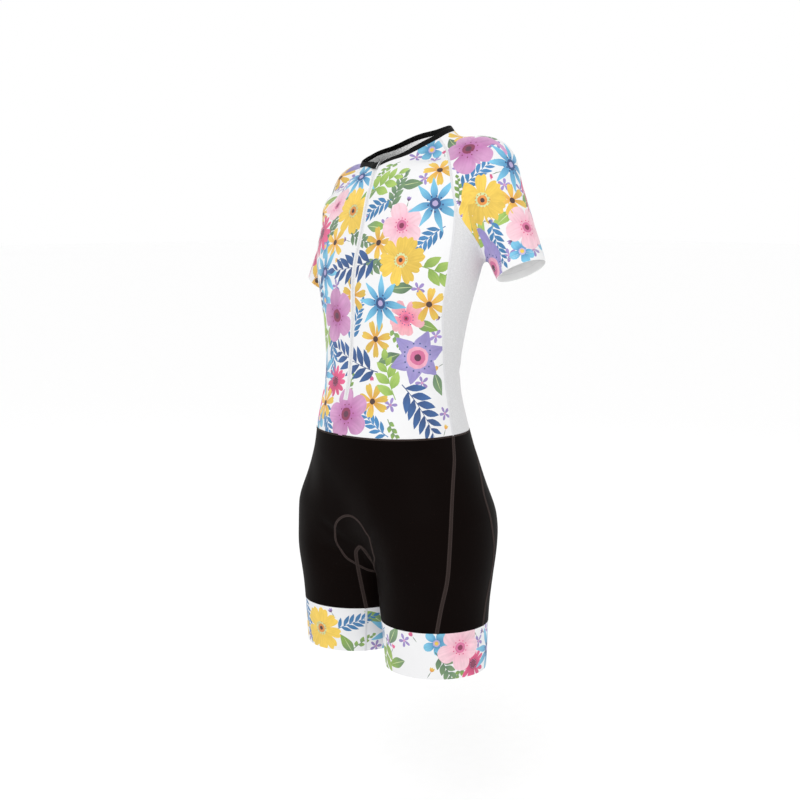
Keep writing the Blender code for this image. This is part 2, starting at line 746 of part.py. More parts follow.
def slider_block(name, frame, across, outwards, upwards):
    """A block of the slider between three pairs of limits in its frame, with its edges eased."""
    limits = np.array([across, outwards, upwards])
    bm = bmesh.new()
    bmesh.ops.create_cube(bm, size=1.0)
    bmesh.ops.scale(bm, vec=limits[:, 1] - limits[:, 0], verts=bm.verts)
    bmesh.ops.translate(bm, vec=limits.mean(axis=1), verts=bm.verts)
    bmesh.ops.bevel(bm, geom=list(bm.edges), offset=SLIDER_EASE, segments=1, affect="EDGES")
    placed = hang(np.array([frame @ vert.co for vert in bm.verts])) - ORIGIN
    for vert, place in zip(bm.verts, placed):
        vert.co = place
    mesh = bpy.data.meshes.new(name)
    bm.to_mesh(mesh)
    bm.free()
    return bpy.data.objects.new(name, mesh)


def slider_frame(top):
    """Where the slider sits: x across the zip, y out of the cloth, z up along it."""
    below = settle(np.array([top - (0, 0, 10 * MM)]), (0, 1, 0))[0]
    up = (top - below) / np.linalg.norm(top - below)
    out = outward(np.array([top]))[0]
    out -= up * (out @ up)
    out /= np.linalg.norm(out)
    frame = Matrix.Identity(4)
    for column, way in enumerate((np.cross(out, up), out, up)):
        frame.col[column][:3] = way
    frame.translation = Vector(top)
    return frame


def add_slider(top, material):
    """The slider and its tab: a plate on each side of the tapes, joined above their ends."""
    half = SLIDER_WIDTH / 2
    low = SLIDER_TOP - SLIDER_LENGTH
    face = SLIDER_FACE + SLIDER_PLATE
    frame = slider_frame(top)
    slider = slider_block("zip_slider", frame, (-half, half), (SLIDER_FACE, face), (low, SLIDER_TOP))
    blocks = (
        slider_block(
            "slider_back", frame,
            (-half, half), (SLIDER_BACK, SLIDER_BACK + SLIDER_PLATE), (low, SLIDER_TOP),
        ),
        slider_block(
            "slider_post", frame, (-SLIDER_POST, SLIDER_POST),
            (SLIDER_BACK + SLIDER_BITE, face - SLIDER_BITE), (SEAM_GAP, SLIDER_TOP - SLIDER_BITE),
        ),
        slider_block(
            "slider_tab", frame, (-TAB_WIDTH / 2, TAB_WIDTH / 2),
            (face - SLIDER_BITE, SLIDER_RISE), (low + SLIDER_BITE, SLIDER_TOP - SLIDER_BITE),
        ),
    )
    bpy.data.collections[COLLECTION].objects.link(slider)
    slider.data.materials.append(material)
    for block in blocks:
        bpy.data.collections["cutters"].objects.link(block)
        block.hide_render = True
        block.display_type = "WIRE"
        union = slider.modifiers.new(block.name, "BOOLEAN")
        union.operation = "UNION"
        union.object = block


def lower_seams(upper):
    """The seams of the shorts on the left side."""
    s = {}
    front_foot = upper["side_front"][0]
    rear_foot = upper["side_back"][0]
    rows = ROWS_CENTRE + ROWS_INSEAM
    s["front_side"] = seam(SHORTS_FRONT_SIDE, rows, (front_foot, None))
    s["rear_side"] = seam(SHORTS_REAR_SIDE, rows, (rear_foot, None))
    s["inseam_front"] = seam(INSEAM_FRONT, ROWS_INSEAM)
    s["inseam_back"] = seam(INSEAM_BACK, ROWS_INSEAM)
    for name in ("front_side", "rear_side", "inseam_front", "inseam_back"):
        s[name][-1] = settle(np.array([[*s[name][-1, :2], BAND_TOP]]), (1, 1, 0))[0]
    s["inseam_front"][0, 0] = 0.0
    s["inseam_back"][0, 0] = 0.0
    s["inseam_front"][0] = settle(s["inseam_front"][:1], (0, 1, 1))[0]
    s["inseam_back"][0] = settle(s["inseam_back"][:1], (0, 1, 1))[0]
    s["crotch"] = seam(CROTCH, COLUMNS_CROTCH, (s["inseam_front"][0], s["inseam_back"][0]))
    s["crotch"][:, 0] = 0.0
    starts = settle(np.array([WAIST_FRONT, WAIST_BACK]), (0, 1, 0))
    s["centre_front"] = centre_line(starts[0], s["inseam_front"][0], ROWS_CENTRE)
    s["centre_back"] = centre_seat(starts[1], s["inseam_back"][0])
    s["waist_front"] = level_run(starts[0], front_foot, COLUMNS_SHORTS, WAIST_MIDDLE, WAIST_SEAM)
    s["waist_side"] = level_run(front_foot, rear_foot, COLUMNS_SHORTS_SIDE, WAIST_MIDDLE, WAIST_SEAM)
    s["waist_back"] = level_run(rear_foot, starts[1], COLUMNS_SHORTS, WAIST_MIDDLE, WAIST_SEAM)
    leg = LEG_END[:2]
    lines = ("inseam_front", "front_side", "rear_side", "inseam_back", "inseam_front")
    corners = [s[name][-1] for name in lines]
    counts = (COLUMNS_SHORTS, COLUMNS_SHORTS_SIDE, COLUMNS_SHORTS, COLUMNS_CROTCH)
    names = ("hem_front", "hem_side", "hem_back", "hem_inner")
    for name, start, end, count in zip(names, corners, corners[1:], counts):
        s[name] = level_run(start, end, count, leg, BAND_TOP)
    return s


def centre_seat(start, end):
    """The middle line over the seat, which bulges back between its ends."""
    knots = np.array(SEAT_MIDDLE) * MM
    knots[0], knots[-1] = start, end
    line = settle(smooth_line(knots), (0, 1, 1))
    points = settle(evenly(line, ROWS_CENTRE), (0, 1, 1))
    points[0] = start
    points[-1] = end
    return points


def shorts_front_grids(s):
    inner = np.vstack([s["centre_front"], s["inseam_front"][1:]])[::-1]
    main = patch(s["hem_front"], s["waist_front"], inner, s["front_side"][::-1])
    return [main, flipped(main)]


def shorts_side_grid(s):
    return patch(s["hem_side"], s["waist_side"], s["front_side"][::-1], s["rear_side"][::-1])


def shorts_back_grids(s):
    """The left half of the seat, and the inside of its thigh."""
    inner = np.vstack([s["centre_back"], s["inseam_back"][1:]])[::-1]
    main = patch(s["hem_back"], s["waist_back"], s["rear_side"][::-1], inner)
    thigh = patch(s["hem_inner"], s["crotch"][::-1], s["inseam_back"][::-1], s["inseam_front"][::-1])
    return [main, thigh]


def band_grid(s):
    """The left leg band: level rings from the hem up to the shorts."""
    top = np.vstack([s["hem_front"], s["hem_side"][1:], s["hem_back"][1:], s["hem_inner"][1:]])
    rows = []
    for height in np.linspace(0, BAND_TOP, ROWS_BAND + 1):
        ring = top.copy()
        ring[:, 2] = height
        rows.append(settle(ring, (1, 1, 0)))
    return np.stack(rows)


def clear_scene():
    for piece in list(bpy.data.objects):
        bpy.data.objects.remove(piece, do_unlink=True)
    for name in (COLLECTION, "cutters"):
        group = bpy.data.collections.get(name) or bpy.data.collections.new(name)
        if name not in bpy.context.scene.collection.children:
            bpy.context.scene.collection.children.link(group)


def main():
    clear_scene()
    printed = add_material("printed_lycra", PRINT_WHITE, 0.6)
    white = add_material("white_lycra", SIDE_WHITE, 0.6)
    black = add_material("black_lycra", BLACK, 0.55)
    ribbon = add_material("black_binding", BLACK, 0.5)
    tape = add_material("zip_tape", TAPE_GREY, 0.7)
    metal = add_material("painted_zinc", SLIDER_GREY, 0.4, 0.6)

    upper = upper_seams()
    add_cloth("front", front_grids(upper), printed)
    add_cloth("back", back_grids(upper), printed)
    side = side_grid(upper)
    add_cloth("side_left", [side], white)
    add_cloth("side_right", [flipped(side)], white)
    sleeve = sleeve_grid(upper)
    add_cloth("sleeve_left", [sleeve], printed)
    add_cloth("sleeve_right", [flipped(sleeve)], printed)

    binding = binding_grid(upper)
    add_cloth("neck_binding", [binding], ribbon, BINDING_WALL, BINDING_PROUD)
    zip_tape = tape_grid(upper, binding[-1][0])
    add_cloth("zip_tape_left", [zip_tape], tape, TAPE_WALL, -TAPE_SUNK)
    add_cloth("zip_tape_right", [flipped(zip_tape)], tape, TAPE_WALL, -TAPE_SUNK)
    add_garage(upper, binding, ribbon)
    add_slider(zip_tape[-1][0], metal)

    lower = lower_seams(upper)
    add_cloth("shorts_front", shorts_front_grids(lower), black)
    seat = shorts_back_grids(lower)
    add_cloth("shorts_back_left", seat, black, half=1)
    add_cloth("shorts_back_right", [flipped(grid) for grid in seat], black, half=-1)
    side = shorts_side_grid(lower)
    add_cloth("shorts_side_left", [side], black)
    add_cloth("shorts_side_right", [flipped(side)], black)
    band = band_grid(lower)
    add_cloth("leg_band_left", [band], printed)
    add_cloth("leg_band_right", [flipped(band)], printed)


main()
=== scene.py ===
"""A short-sleeved triathlon suit, filled out as worn, dressed around its solids.

Every piece of cloth is a thin shell on the suit's worn form, with its folds as soft troughs.
The flower print is cut into the cloth's own faces. Lengths are in millimetres where a name or a
comment says so and in metres elsewhere. x runs to the wearer's left, y to the back, z up.
"""

import collections
import functools
import math

import bpy
import numpy as np
from bpy.props import FloatProperty, FloatVectorProperty, PointerProperty
from bpy.types import Operator, Panel, PropertyGroup
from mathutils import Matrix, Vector
from mathutils.geometry import delaunay_2d_cdt
from mathutils.kdtree import KDTree
from numpy.linalg import lstsq, norm


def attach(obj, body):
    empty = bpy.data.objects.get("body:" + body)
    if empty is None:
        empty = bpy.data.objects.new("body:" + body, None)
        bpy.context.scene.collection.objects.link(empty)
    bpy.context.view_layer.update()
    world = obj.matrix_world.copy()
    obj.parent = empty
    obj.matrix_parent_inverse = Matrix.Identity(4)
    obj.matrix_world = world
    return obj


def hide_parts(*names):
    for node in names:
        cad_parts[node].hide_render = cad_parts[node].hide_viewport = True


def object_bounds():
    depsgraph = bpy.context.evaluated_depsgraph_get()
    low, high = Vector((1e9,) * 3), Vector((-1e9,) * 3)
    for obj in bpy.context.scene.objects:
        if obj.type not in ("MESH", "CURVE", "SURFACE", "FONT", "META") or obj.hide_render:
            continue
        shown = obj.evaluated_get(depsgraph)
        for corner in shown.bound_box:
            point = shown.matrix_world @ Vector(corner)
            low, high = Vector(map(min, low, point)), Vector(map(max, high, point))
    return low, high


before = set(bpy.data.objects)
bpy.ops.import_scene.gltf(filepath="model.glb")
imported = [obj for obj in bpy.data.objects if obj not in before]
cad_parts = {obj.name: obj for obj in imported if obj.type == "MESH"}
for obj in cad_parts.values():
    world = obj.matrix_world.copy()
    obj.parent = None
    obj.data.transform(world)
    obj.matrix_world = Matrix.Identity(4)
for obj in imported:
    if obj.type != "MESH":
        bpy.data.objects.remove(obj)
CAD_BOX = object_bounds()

bl_info = {
    "name": "Triathlon suit",
    "version": (1, 0, 0),
    "blender": (4, 5, 0),
    "location": "View3D > Sidebar > Suit",
    "description": "Makes the cloth, print, seams and zip of a triathlon suit",
    "category": "Object",
}

MM = 0.001
ORIGIN = np.array([0.0, 62.0, 783.0]) * MM

# -------- sizes of the suit

WALL = 1.0 * MM
CLOTH_STEP = 4.5 * MM
FINE = 6
SEAM_GAP = 0.3 * MM
BINDING_WALL = 2.2 * MM
BINDING_PROUD = 0.5 * MM
BINDING_HEIGHT = 8.5 * MM
BAND_TOP = 74.5 * MM
WAIST_SEAM = 373 * MM
ZIP_END = 428 * MM
ZIP_HALF_WIDTH = 5.0 * MM
TAPE_SUNK = 0.3 * MM
TAPE_WALL = 0.8 * MM
SLIDER_LENGTH = 8.5 * MM
SLIDER_PLATE = 0.9 * MM
TAB_THICKNESS = 0.8 * MM
SLIDER_RISE = -TAPE_SUNK + SEAM_GAP + SLIDER_PLATE + TAB_THICKNESS
GARAGE_CLEARANCE = 0.2 * MM
GARAGE_WALL = 1.0 * MM
GARAGE_REACH = 28.0 * MM
GARAGE_OVERLAP = 3.9 * MM
GARAGE_DROP = 9.5 * MM

# The worn form. Trunk: height, half width, depth in front and depth behind the middle plane.
TRUNK_COLUMNS = ("height", "half_width", "front", "behind")
TRUNK = np.array([
    (170, 155, 87, 111),
    (250, 151, 112, 124),
    (320, 139, 129, 111),
    (385, 124, 127, 93),
    (460, 116, 110, 76),
    (540, 131, 102, 76),
    (630, 157, 98, 86),
    (700, 168, 80, 104),
    (760, 159, 65, 106),
]) * MM
TRUNK_ROUNDNESS = 2.25
TRUNK_TOP = 798 * MM
TRUNK_END_ROUNDING = 60 * MM
SHOULDER = np.array([125, 62, 783]) * MM
SHOULDER_RADIUS = 39 * MM
NECK_SIDE = np.array([36, 34, 820]) * MM
NECK_SIDE_RADIUS = 26 * MM
NECK_FOOT = np.array([0, 34, 800]) * MM
NECK_HEAD = np.array([0, 24, 950]) * MM
NECK_RADII = (50 * MM, 47 * MM)
ARM_OUT = math.radians(28)
ARM_RADII = (51 * MM, 40 * MM)
ARM_LENGTH = 171.5 * MM
SLEEVE_HEM = 172 * MM
HIP_JOINT = np.array([89.5, -15, 240]) * MM
LEG_END = np.array([98, -12, 0]) * MM
LEG_RADII = (97.5 * MM, 81 * MM)
LIMB_RUN_ON = 0.3
BLEND_SHOULDER = 30 * MM
BLEND_NECK = 40 * MM
BLEND_THIGHS = 20 * MM
BLEND_HIPS = 50 * MM
BLEND_ARMPIT = (18 * MM, 690 * MM)
BLEND_ARM_TOP = (30 * MM, 745 * MM)

# How far the right shoulder drops and moves, and how much more the hem of its sleeve moves
RIGHT_DROP = np.array([0, 0, -35]) * MM
RIGHT_MOVE = np.array([-12, -12, 0]) * MM
RIGHT_SWING = np.array([-8, -8, 1]) * MM

# How the neck lies: it falls open at the right front and sinks at the right back.
# Columns: middle, how far the cloth moves there, reach, in millimetres.
NECK_MOVES = (
    ((-48, -6, 816), (-20, -20, -18), 47),
    ((-38, 64, 850), (0, 0, -12), 56),
    ((54, 46, 848), (5, 6, 3), 40),
    ((2, -36, 796), (-3, -5, 1), 30),
)

# Seams on the left side, in millimetres. Columns: out from the middle, back, height above the hems.
NECK_FRONT = (
    (0, -39, 790), (16, -29, 800), (33, -18, 807), (47, -5, 817), (61, 9, 828), (66, 17, 833),
)
NECK_SLEEVE = ((66, 17, 833), (68, 31, 840), (65, 45, 844), (58, 56, 847))
NECK_BACK = ((58, 56, 847), (46, 66, 849), (26, 75, 850), (0, 79, 850))
SIDE_FRONT = (
    (125, -4, 373), (121, -5, 399), (116, -8, 436), (118, -16, 479), (131, -33, 550),
    (141, -39, 591), (152, -39, 648), (155, -34, 688), (152, -27, 731),
)
SIDE_BACK = (
    (88, 66, 373), (82, 62, 399), (76, 58, 436), (78, 57, 479), (86, 61, 550),
    (92, 65, 591), (98, 72, 648), (107, 77, 680), (121, 90, 706), (134, 104, 727),
)
RAGLAN_FRONT = ((152, -27, 731), (142, -24, 757), (126, -13, 787), (98, 7, 811), (77, 14, 828))
RAGLAN_BACK = ((134, 104, 727), (130, 111, 757), (113, 112, 788), (88, 101, 815))
UNDERARM = (
    (152, -27, 731), (160, -23, 709), (165, -11, 691), (166, 2, 677), (164, 14, 663), (159, 26, 650),
    (151, 39, 645), (144, 50, 650), (138, 60, 660), (134, 74, 678), (132, 90, 700), (134, 104, 727),
)
SHORTS_FRONT_SIDE = (
    (125, -4, 373), (141, -15, 345), (162, -37, 309), (176, -56, 258), (175, -60, 211),
    (171, -62, 160), (165, -67, 117), (159, -71, 74.5),
)
SHORTS_REAR_SIDE = (
    (88, 66, 373), (118, 58, 345), (145, 43, 316), (170, 28, 281), (179, 29, 240), (176, 36, 194),
    (176, 30, 155), (176, 20, 117), (177, 13, 74.5),
)
INSEAM_FRONT = (
    (0, -87, 188), (10, -86, 181), (19, -80, 168), (22, -73, 148), (23, -68, 128), (21, -56, 74.5),
)
INSEAM_BACK = ((0, 62, 160), (12, 62, 148), (20, 58, 130), (23, 52, 110), (21, 42, 74.5))
CROTCH = ((0, -87, 188), (0, -60, 163), (0, -20, 148), (0, 24, 147), (0, 62, 160))
SEAT_MIDDLE = ((0, 80, 373), (0, 112, 310), (0, 124, 250), (0, 112, 200), (0, 62, 160))
PAD_OUTLINE = (
    (0, -22, 148), (-11, -30, 147), (-20, -54, 143), (-24, -78, 154), (-33, -88, 163), (-39, -95, 175),
    (-42, -102, 190), (-40, -107, 206), (-33, -111, 221), (-23, -112, 232), (-8, -112, 240),
    (10, -112, 242), (27, -112, 237), (41, -110, 225), (49, -106, 207), (49, -100, 188), (42, -93, 172),
    (34, -86, 160), (25, -78, 153), (20, -54, 143), (11, -30, 147), (0, -22, 148),
)
WAIST_MIDDLE = np.array([0, -17]) * MM
WAIST_FRONT = (0, -120 * MM, WAIST_SEAM)
WAIST_BACK = (0, 80 * MM, WAIST_SEAM)


def linear(code):
    """An sRGB hex colour as linear red, green and blue."""
    parts = [int(code.lstrip("#")[i:i + 2], 16) / 255 for i in (0, 2, 4)]
    return tuple(c / 12.92 if c <= 0.04045 else ((c + 0.055) / 1.055) ** 2.4 for c in parts)


# -------- the worn form


def eased(share):
    share = np.clip(share, 0, 1)
    return share * share * (3 - 2 * share)


def between(values, low, high):
    return eased((values - low * MM) / ((high - low) * MM))


def either(first, second):
    """Joins two shares from 0 to 1 smoothly, and is at least the larger."""
    return 1 - (1 - first) * (1 - second)


def soft_min(first, second, reach):
    """The smaller of two distances, rounded off where they are within reach of each other."""
    share = np.clip(0.5 + 0.5 * (second - first) / reach, 0, 1)
    return second + (first - second) * share - reach * share * (1 - share)


def hermite(t, start, end, leave, arrive):
    """A smooth run from start to end as t goes from 0 to 1, with the given slopes at its ends."""
    near = (2 * t**3 - 3 * t**2 + 1) * start + (t**3 - 2 * t**2 + t) * leave
    return near + (3 * t**2 - 2 * t**3) * end + (t**3 - t**2) * arrive


def smooth_row(heights, column):
    """A trunk measure at each height, on a smooth curve through the table."""
    table = TRUNK[:, 0]
    values = TRUNK[:, TRUNK_COLUMNS.index(column)]
    slopes = np.gradient(values, table)
    heights = np.clip(heights, table[0], table[-1])
    row = np.clip(np.searchsorted(table, heights) - 1, 0, len(table) - 2)
    step = table[row + 1] - table[row]
    t = (heights - table[row]) / step
    return hermite(t, values[row], values[row + 1], step * slopes[row], step * slopes[row + 1])


def trunk(points):
    """Distance to the trunk, a stack of rounded ovals with softened ends."""
    x, y, z = points.T
    half_width, front, behind = (smooth_row(z, column) for column in TRUNK_COLUMNS[1:])
    half_depth = (front + behind) / 2
    across = y - (behind - front) / 2
    power = TRUNK_ROUNDNESS
    ratio = (np.abs(x / half_width) ** power + np.abs(across / half_depth) ** power) ** (1 / power)
    radius = np.hypot(x, across)
    sideways = np.where(radius < MM, -half_depth, radius - radius / np.maximum(ratio, 1e-6))
    sideways += TRUNK_END_ROUNDING
    bottom = TRUNK[0, 0]
    middle = (TRUNK_TOP + bottom) / 2
    upright = np.abs(z - middle) - (TRUNK_TOP - bottom) / 2 + TRUNK_END_ROUNDING
    inside = np.minimum(np.maximum(sideways, upright), 0)
    outside = np.hypot(np.maximum(sideways, 0), np.maximum(upright, 0))
    return inside + outside - TRUNK_END_ROUNDING


def limb(points, start, end, radii, run_on=0.0):
    """Distance to a tapered round limb from start to end, which may run on past its end."""
    along = end - start
    share = np.clip((points - start) @ along / (along @ along), 0, 1 + run_on)
    gap = norm(points - start - share[:, None] * along, axis=1)
    return gap - (radii[0] + (radii[1] - radii[0]) * share)


def flipped(points, side=-1):
    """The points mirrored to the other side of the suit, or as they are where side is 1."""
    return points * np.array([side, 1, 1])


def arm_direction(side):
    return np.array([side * math.sin(ARM_OUT), 0.0, -math.cos(ARM_OUT)])


def arm_blend(heights):
    """The arms run softly into the shoulders and more tightly into the body below them."""
    low, low_height = BLEND_ARMPIT
    high, high_height = BLEND_ARM_TOP
    return low + (high - low) * eased((heights - low_height) / (high_height - low_height))


def form(points):
    """Distance from each point to the worn form, negative inside it."""
    body = trunk(points)
    for side in (-1, 1):
        neck_side = flipped(NECK_SIDE, side)
        yoke = limb(points, neck_side, flipped(SHOULDER, side), (NECK_SIDE_RADIUS, SHOULDER_RADIUS))
        body = soft_min(body, yoke, BLEND_SHOULDER)
    body = soft_min(body, limb(points, NECK_FOOT, NECK_HEAD, NECK_RADII), BLEND_NECK)
    right, left = (
        limb(points, flipped(HIP_JOINT, side), flipped(LEG_END, side), LEG_RADII, LIMB_RUN_ON)
        for side in (-1, 1)
    )
    body = soft_min(body, soft_min(right, left, BLEND_THIGHS), BLEND_HIPS)
    for side in (-1, 1):
        shoulder = flipped(SHOULDER, side)
        elbow = shoulder + arm_direction(side) * ARM_LENGTH
        arm = limb(points, shoulder, elbow, ARM_RADII, LIMB_RUN_ON)
        body = soft_min(body, arm, arm_blend(points[:, 2]))
    return body


def slope(points, step=0.4 * MM):
    """How the form's distance grows along x, y and z, by central differences."""
    columns = []
    for axis in range(3):
        move = np.zeros(3)
        move[axis] = step
        columns.append((form(points + move) - form(points - move)) / (2 * step))
    return np.stack(columns, axis=1)


def unit(vectors):
    return vectors / np.maximum(norm(vectors, axis=-1, keepdims=True), 1e-12)


def outward(points):
    return unit(slope(points))


LEAST_SLOPE = 0.05
LONGEST_MOVE = 20 * MM


def settle(points, free=(1, 1, 1), rounds=8):
    """Moves points onto the form, along the axes that are free."""
    shape = points.shape
    points = points.reshape(-1, 3).copy()
    for _ in range(rounds):
        way = slope(points) * np.array(free)
        reach = form(points) / np.maximum((way**2).sum(axis=1), LEAST_SLOPE)
        points -= np.clip(reach, -LONGEST_MOVE, LONGEST_MOVE)[:, None] * way
    return points.reshape(shape)


def hang(points):
    """Lets the right shoulder and its sleeve down, out and a little forward, and the neck open."""
    out = -points[:, 0]
    height = points[:, 2]
    arm = between(height, 500, 560)
    dropped = either(between(out, 20, 125) * between(height, 670, 790), between(out, 120, 190) * arm)
    moved = either(between(out, 85, 145) * between(height, 700, 780), between(out, 140, 190) * arm)
    swung = between(out, 120, 190) * arm * np.clip((770 * MM - height) / (160 * MM), 0, 1)
    hung = points.copy()
    for middle, move, reach in NECK_MOVES:
        gap = norm(points / MM - middle, axis=1) / reach
        hung += np.exp(-gap**2)[:, None] * np.array(move) * MM
    for share, move in ((dropped, RIGHT_DROP), (moved, RIGHT_MOVE), (swung, RIGHT_SWING)):
        hung += share[:, None] * move
    return hung


# -------- folds in the cloth

# Each fold is a soft trough along a line between two places near the form, in millimetres.
# Columns: start, end, how far its middle bows up, half width, depth. Mirrored ones are on both sides.
FOLDS_BOTH = (
    # from the armpit over the sleeve and the chest
    ((150, -32, 715), (196, 10, 735), 4, 7, 1.6),
    ((158, -24, 700), (205, 22, 700), 3, 6, 1.3),
    ((160, -12, 684), (206, 30, 668), -2, 7, 1.1),
    ((146, -38, 700), (112, -62, 716), 5, 9, 1.3),
    ((148, -40, 676), (118, -72, 668), 4, 9, 0.9),
    # behind the armpit
    ((137, 95, 705), (178, 96, 722), 3, 7, 1.4),
    ((133, 84, 690), (100, 92, 684), 4, 8, 1.1),
    # waist, where the body bends
    ((118, -14, 452), (70, -92, 440), -4, 11, 1.4),
    ((122, 0, 424), (84, -88, 408), -3, 9, 1.0),
    ((112, 10, 470), (60, 62, 462), 3, 10, 1.3),
    ((90, 52, 436), (30, 72, 428), 2, 9, 1.1),
    # over the hip and down from the crotch
    ((16, -92, 186), (66, -104, 226), 6, 10, 1.6),
    ((20, -84, 168), (78, -94, 184), 5, 9, 1.3),
    ((23, -72, 146), (70, -86, 146), 3, 8, 1.0),
    ((14, 66, 156), (60, 84, 176), 7, 9, 1.7),
    ((20, 60, 138), (74, 76, 142), 4, 8, 1.2),
    ((24, -52, 118), (64, -84, 104), 2, 9, 0.8),
    # sleeve
    ((178, 22, 668), (214, 40, 700), 4, 9, 0.8),
    ((168, 92, 690), (206, 98, 668), 3, 8, 0.9),
)
FOLDS_ONE_SIDE = (
    ((60, -104, 560), (20, -104, 590), 4, 13, 0.9),
    ((72, -96, 480), (24, -108, 462), -4, 12, 1.0),
    ((-64, -100, 528), (-22, -104, 552), 4, 14, 0.9),
    ((-76, -92, 470), (-30, -106, 486), 4, 12, 1.1),
)
FOLD_STEPS = 7
# A mirrored fold's bow, width and depth, as shares of those of its twin
MIRRORED_FOLD = (0.7, 1.1, 0.85)
# How high the ridges beside a fold rise, and how it fades towards its ends
FOLD_RIDGE = 1.1
FOLD_FADE = 0.8
FOLD_END = 0.04

# How the shorts lie on the outer side of the legs, in millimetres.
# Columns: height, half width, and how far they lie inside the form.
SHORTS_LIE = ((287, 41, 6.2), (168, 48, -5.2))


def shorts_lie(points):
    """The shorts pull flat over the outer hip and fill out round the thigh below it."""
    outer = between(np.abs(points[:, 0]), 50, 110) * MM
    gaps = [(points[:, 2] / MM - height) / width for height, width, _ in SHORTS_LIE]
    return -outer * sum(depth * np.exp(-gap**2) for gap, (*_, depth) in zip(gaps, SHORTS_LIE))


@functools.lru_cache(maxsize=None)
def fold_lines():
    """Every fold as its points, half width and depth, with both ends at their own taper."""
    rows = [*FOLDS_BOTH, *FOLDS_ONE_SIDE]
    for start, end, *sizes in FOLDS_BOTH:
        rows.append((flipped(start), flipped(end), *np.multiply(sizes, MIRRORED_FOLD)))
    lines = []
    for start, end, bow, width, depth in rows:
        t = np.linspace(0, 1, FOLD_STEPS + 1)[:, None]
        line = np.array(start) + (np.array(end) - start) * t
        line[:, 2] += 4 * bow * (t * (1 - t))[:, 0]
        lines.append((settle(line * MM), width * MM, depth * MM))
    return lines


def relief(points):
    """How far the cloth stands off the form: troughs with low ridges beside them."""
    height = shorts_lie(points)
    for line, width, depth in fold_lines():
        low = line.min(axis=0) - 3 * width
        high = line.max(axis=0) + 3 * width
        near = np.all((points > low) & (points < high), axis=1)
        if not near.any():
            continue
        spot = points[near]
        best = np.full(len(spot), 1e9)
        share = np.zeros(len(spot))
        for step, (start, end) in enumerate(zip(line[:-1], line[1:])):
            along = end - start
            t = np.clip((spot - start) @ along / (along @ along), 0, 1)
            gap = norm(spot - start - t[:, None] * along, axis=1)
            closer = gap < best
            best = np.where(closer, gap, best)
            share = np.where(closer, (step + t) / FOLD_STEPS, share)
        ratio = (best / width) ** 2
        taper = np.sin(math.pi * (share * (1 - 2 * FOLD_END) + FOLD_END)) ** FOLD_FADE
        height[near] -= depth * taper * (1 - FOLD_RIDGE * ratio) * np.exp(-ratio)
    return height


def laid(points, lift=0.0):
    """Points of the form as they lie in the finished suit, lifted off its cloth."""
    raised = points + outward(points) * (relief(points) + lift)[:, None]
    return hang(raised) - ORIGIN


def laid_with_normals(points, lift=0.0):
    """Where points lie in the suit, and which way the cloth faces there."""
    way = outward(points)
    helper = np.where(np.abs(way[:, 2:3]) < 0.9, np.array([0, 0, 1.0]), np.array([1.0, 0, 0]))
    first = unit(np.cross(helper, way))
    second = np.cross(way, first)
    step = 0.5 * MM
    place = laid(points, lift)
    across, along = (laid(points + move * step, lift) - place for move in (first, second))
    return place, unit(np.cross(across, along))


# -------- seams and panels

GARAGE_TAPER = 0.8
GARAGE_LEAST = 0.05
GARAGE_BULGE = 8.5 * MM
GARAGE_BULGE_EDGE = 1.3 * MM
# How many steps the seams and panels have along and across, as in the suit's solids
ROWS_SIDE = 15
ROWS_RAGLAN = 8
ROWS_ZIP_FOOT = 3
ROWS_CENTRE = 10
ROWS_INSEAM = 6
ROWS_BAND = 4
ROWS_BINDING = 2
ROWS_SLEEVE = 12
COLUMNS_BODY = 9
COLUMNS_SIDE = 11
COLUMNS_NECK = 4
COLUMNS_SHORTS = 9
COLUMNS_SHORTS_SIDE = 5
COLUMNS_CROTCH = 6
COLUMNS_GARAGE = 12
ROWS_GARAGE = 5
PANEL_RELAXING = 12
SLEEVE_RELAXING = 6
SLEEVE_LEAVE = 0.7
SLEEVE_ARRIVE = 1.0
SLEEVE_INSIDE = 0.45
# How far points near the neck's edge may move along each axis to settle on the form
NEARLY_LEVEL = (1, 1, 0.2)


def lengths_along(line):
    """How far each point is along a line."""
    return np.concatenate([[0], np.cumsum(norm(np.diff(line, axis=0), axis=1))])


def read_line(wanted, known, line):
    """Points of a line at wanted values of what is known at each of its points."""
    return np.stack([np.interp(wanted, known, line[:, axis]) for axis in range(3)], axis=-1)


def evenly(line, count):
    """count + 1 points, evenly spaced along a line."""
    reach = lengths_along(line)
    return read_line(np.linspace(0, reach[-1], count + 1), reach, line)


def joined(*lines):
    """Lines that run on from each other, as one line."""
    return np.vstack([lines[0], *(line[1:] for line in lines[1:])])


def smooth_line(knots, samples=16):
    """A smooth curve through the knots (Catmull-Rom)."""
    knots = np.asarray(knots, float)
    before = 2 * knots[0] - knots[1]
    after = 2 * knots[-1] - knots[-2]
    p = np.vstack([before, knots, after])
    t = np.linspace(0, 1, samples, endpoint=False)[:, None]
    runs = []
    for i in range(1, len(p) - 2):
        a, b, c, d = p[i - 1], p[i], p[i + 1], p[i + 2]
        bend = 2 * a - 5 * b + 4 * c - d + t * (3 * (b - c) + d - a)
        runs.append(b + 0.5 * t * (c - a + t * bend))
    return np.vstack(runs + [knots[-1:]])


def seam(knots, count, ends=(None, None), start_x=None):
    """A seam on the form through a table's knots, with its ends set where they are given."""
    line = settle(smooth_line(np.asarray(knots, float) * MM))
    if start_x is not None:
        kept = line[line[:, 0] > start_x]
        first = settle(np.array([[start_x, *kept[0, 1:]]]), (0, 1, 1))
        line = np.vstack([first, kept])
    points = settle(evenly(line, count))
    for index, end in zip((0, -1), ends):
        if end is not None:
            points[index] = end
    return points


def at_level(point, height):
    """The place on the form nearest a point at a given height."""
    return settle(np.array([[*point[:2], height]]), (1, 1, 0))[0]


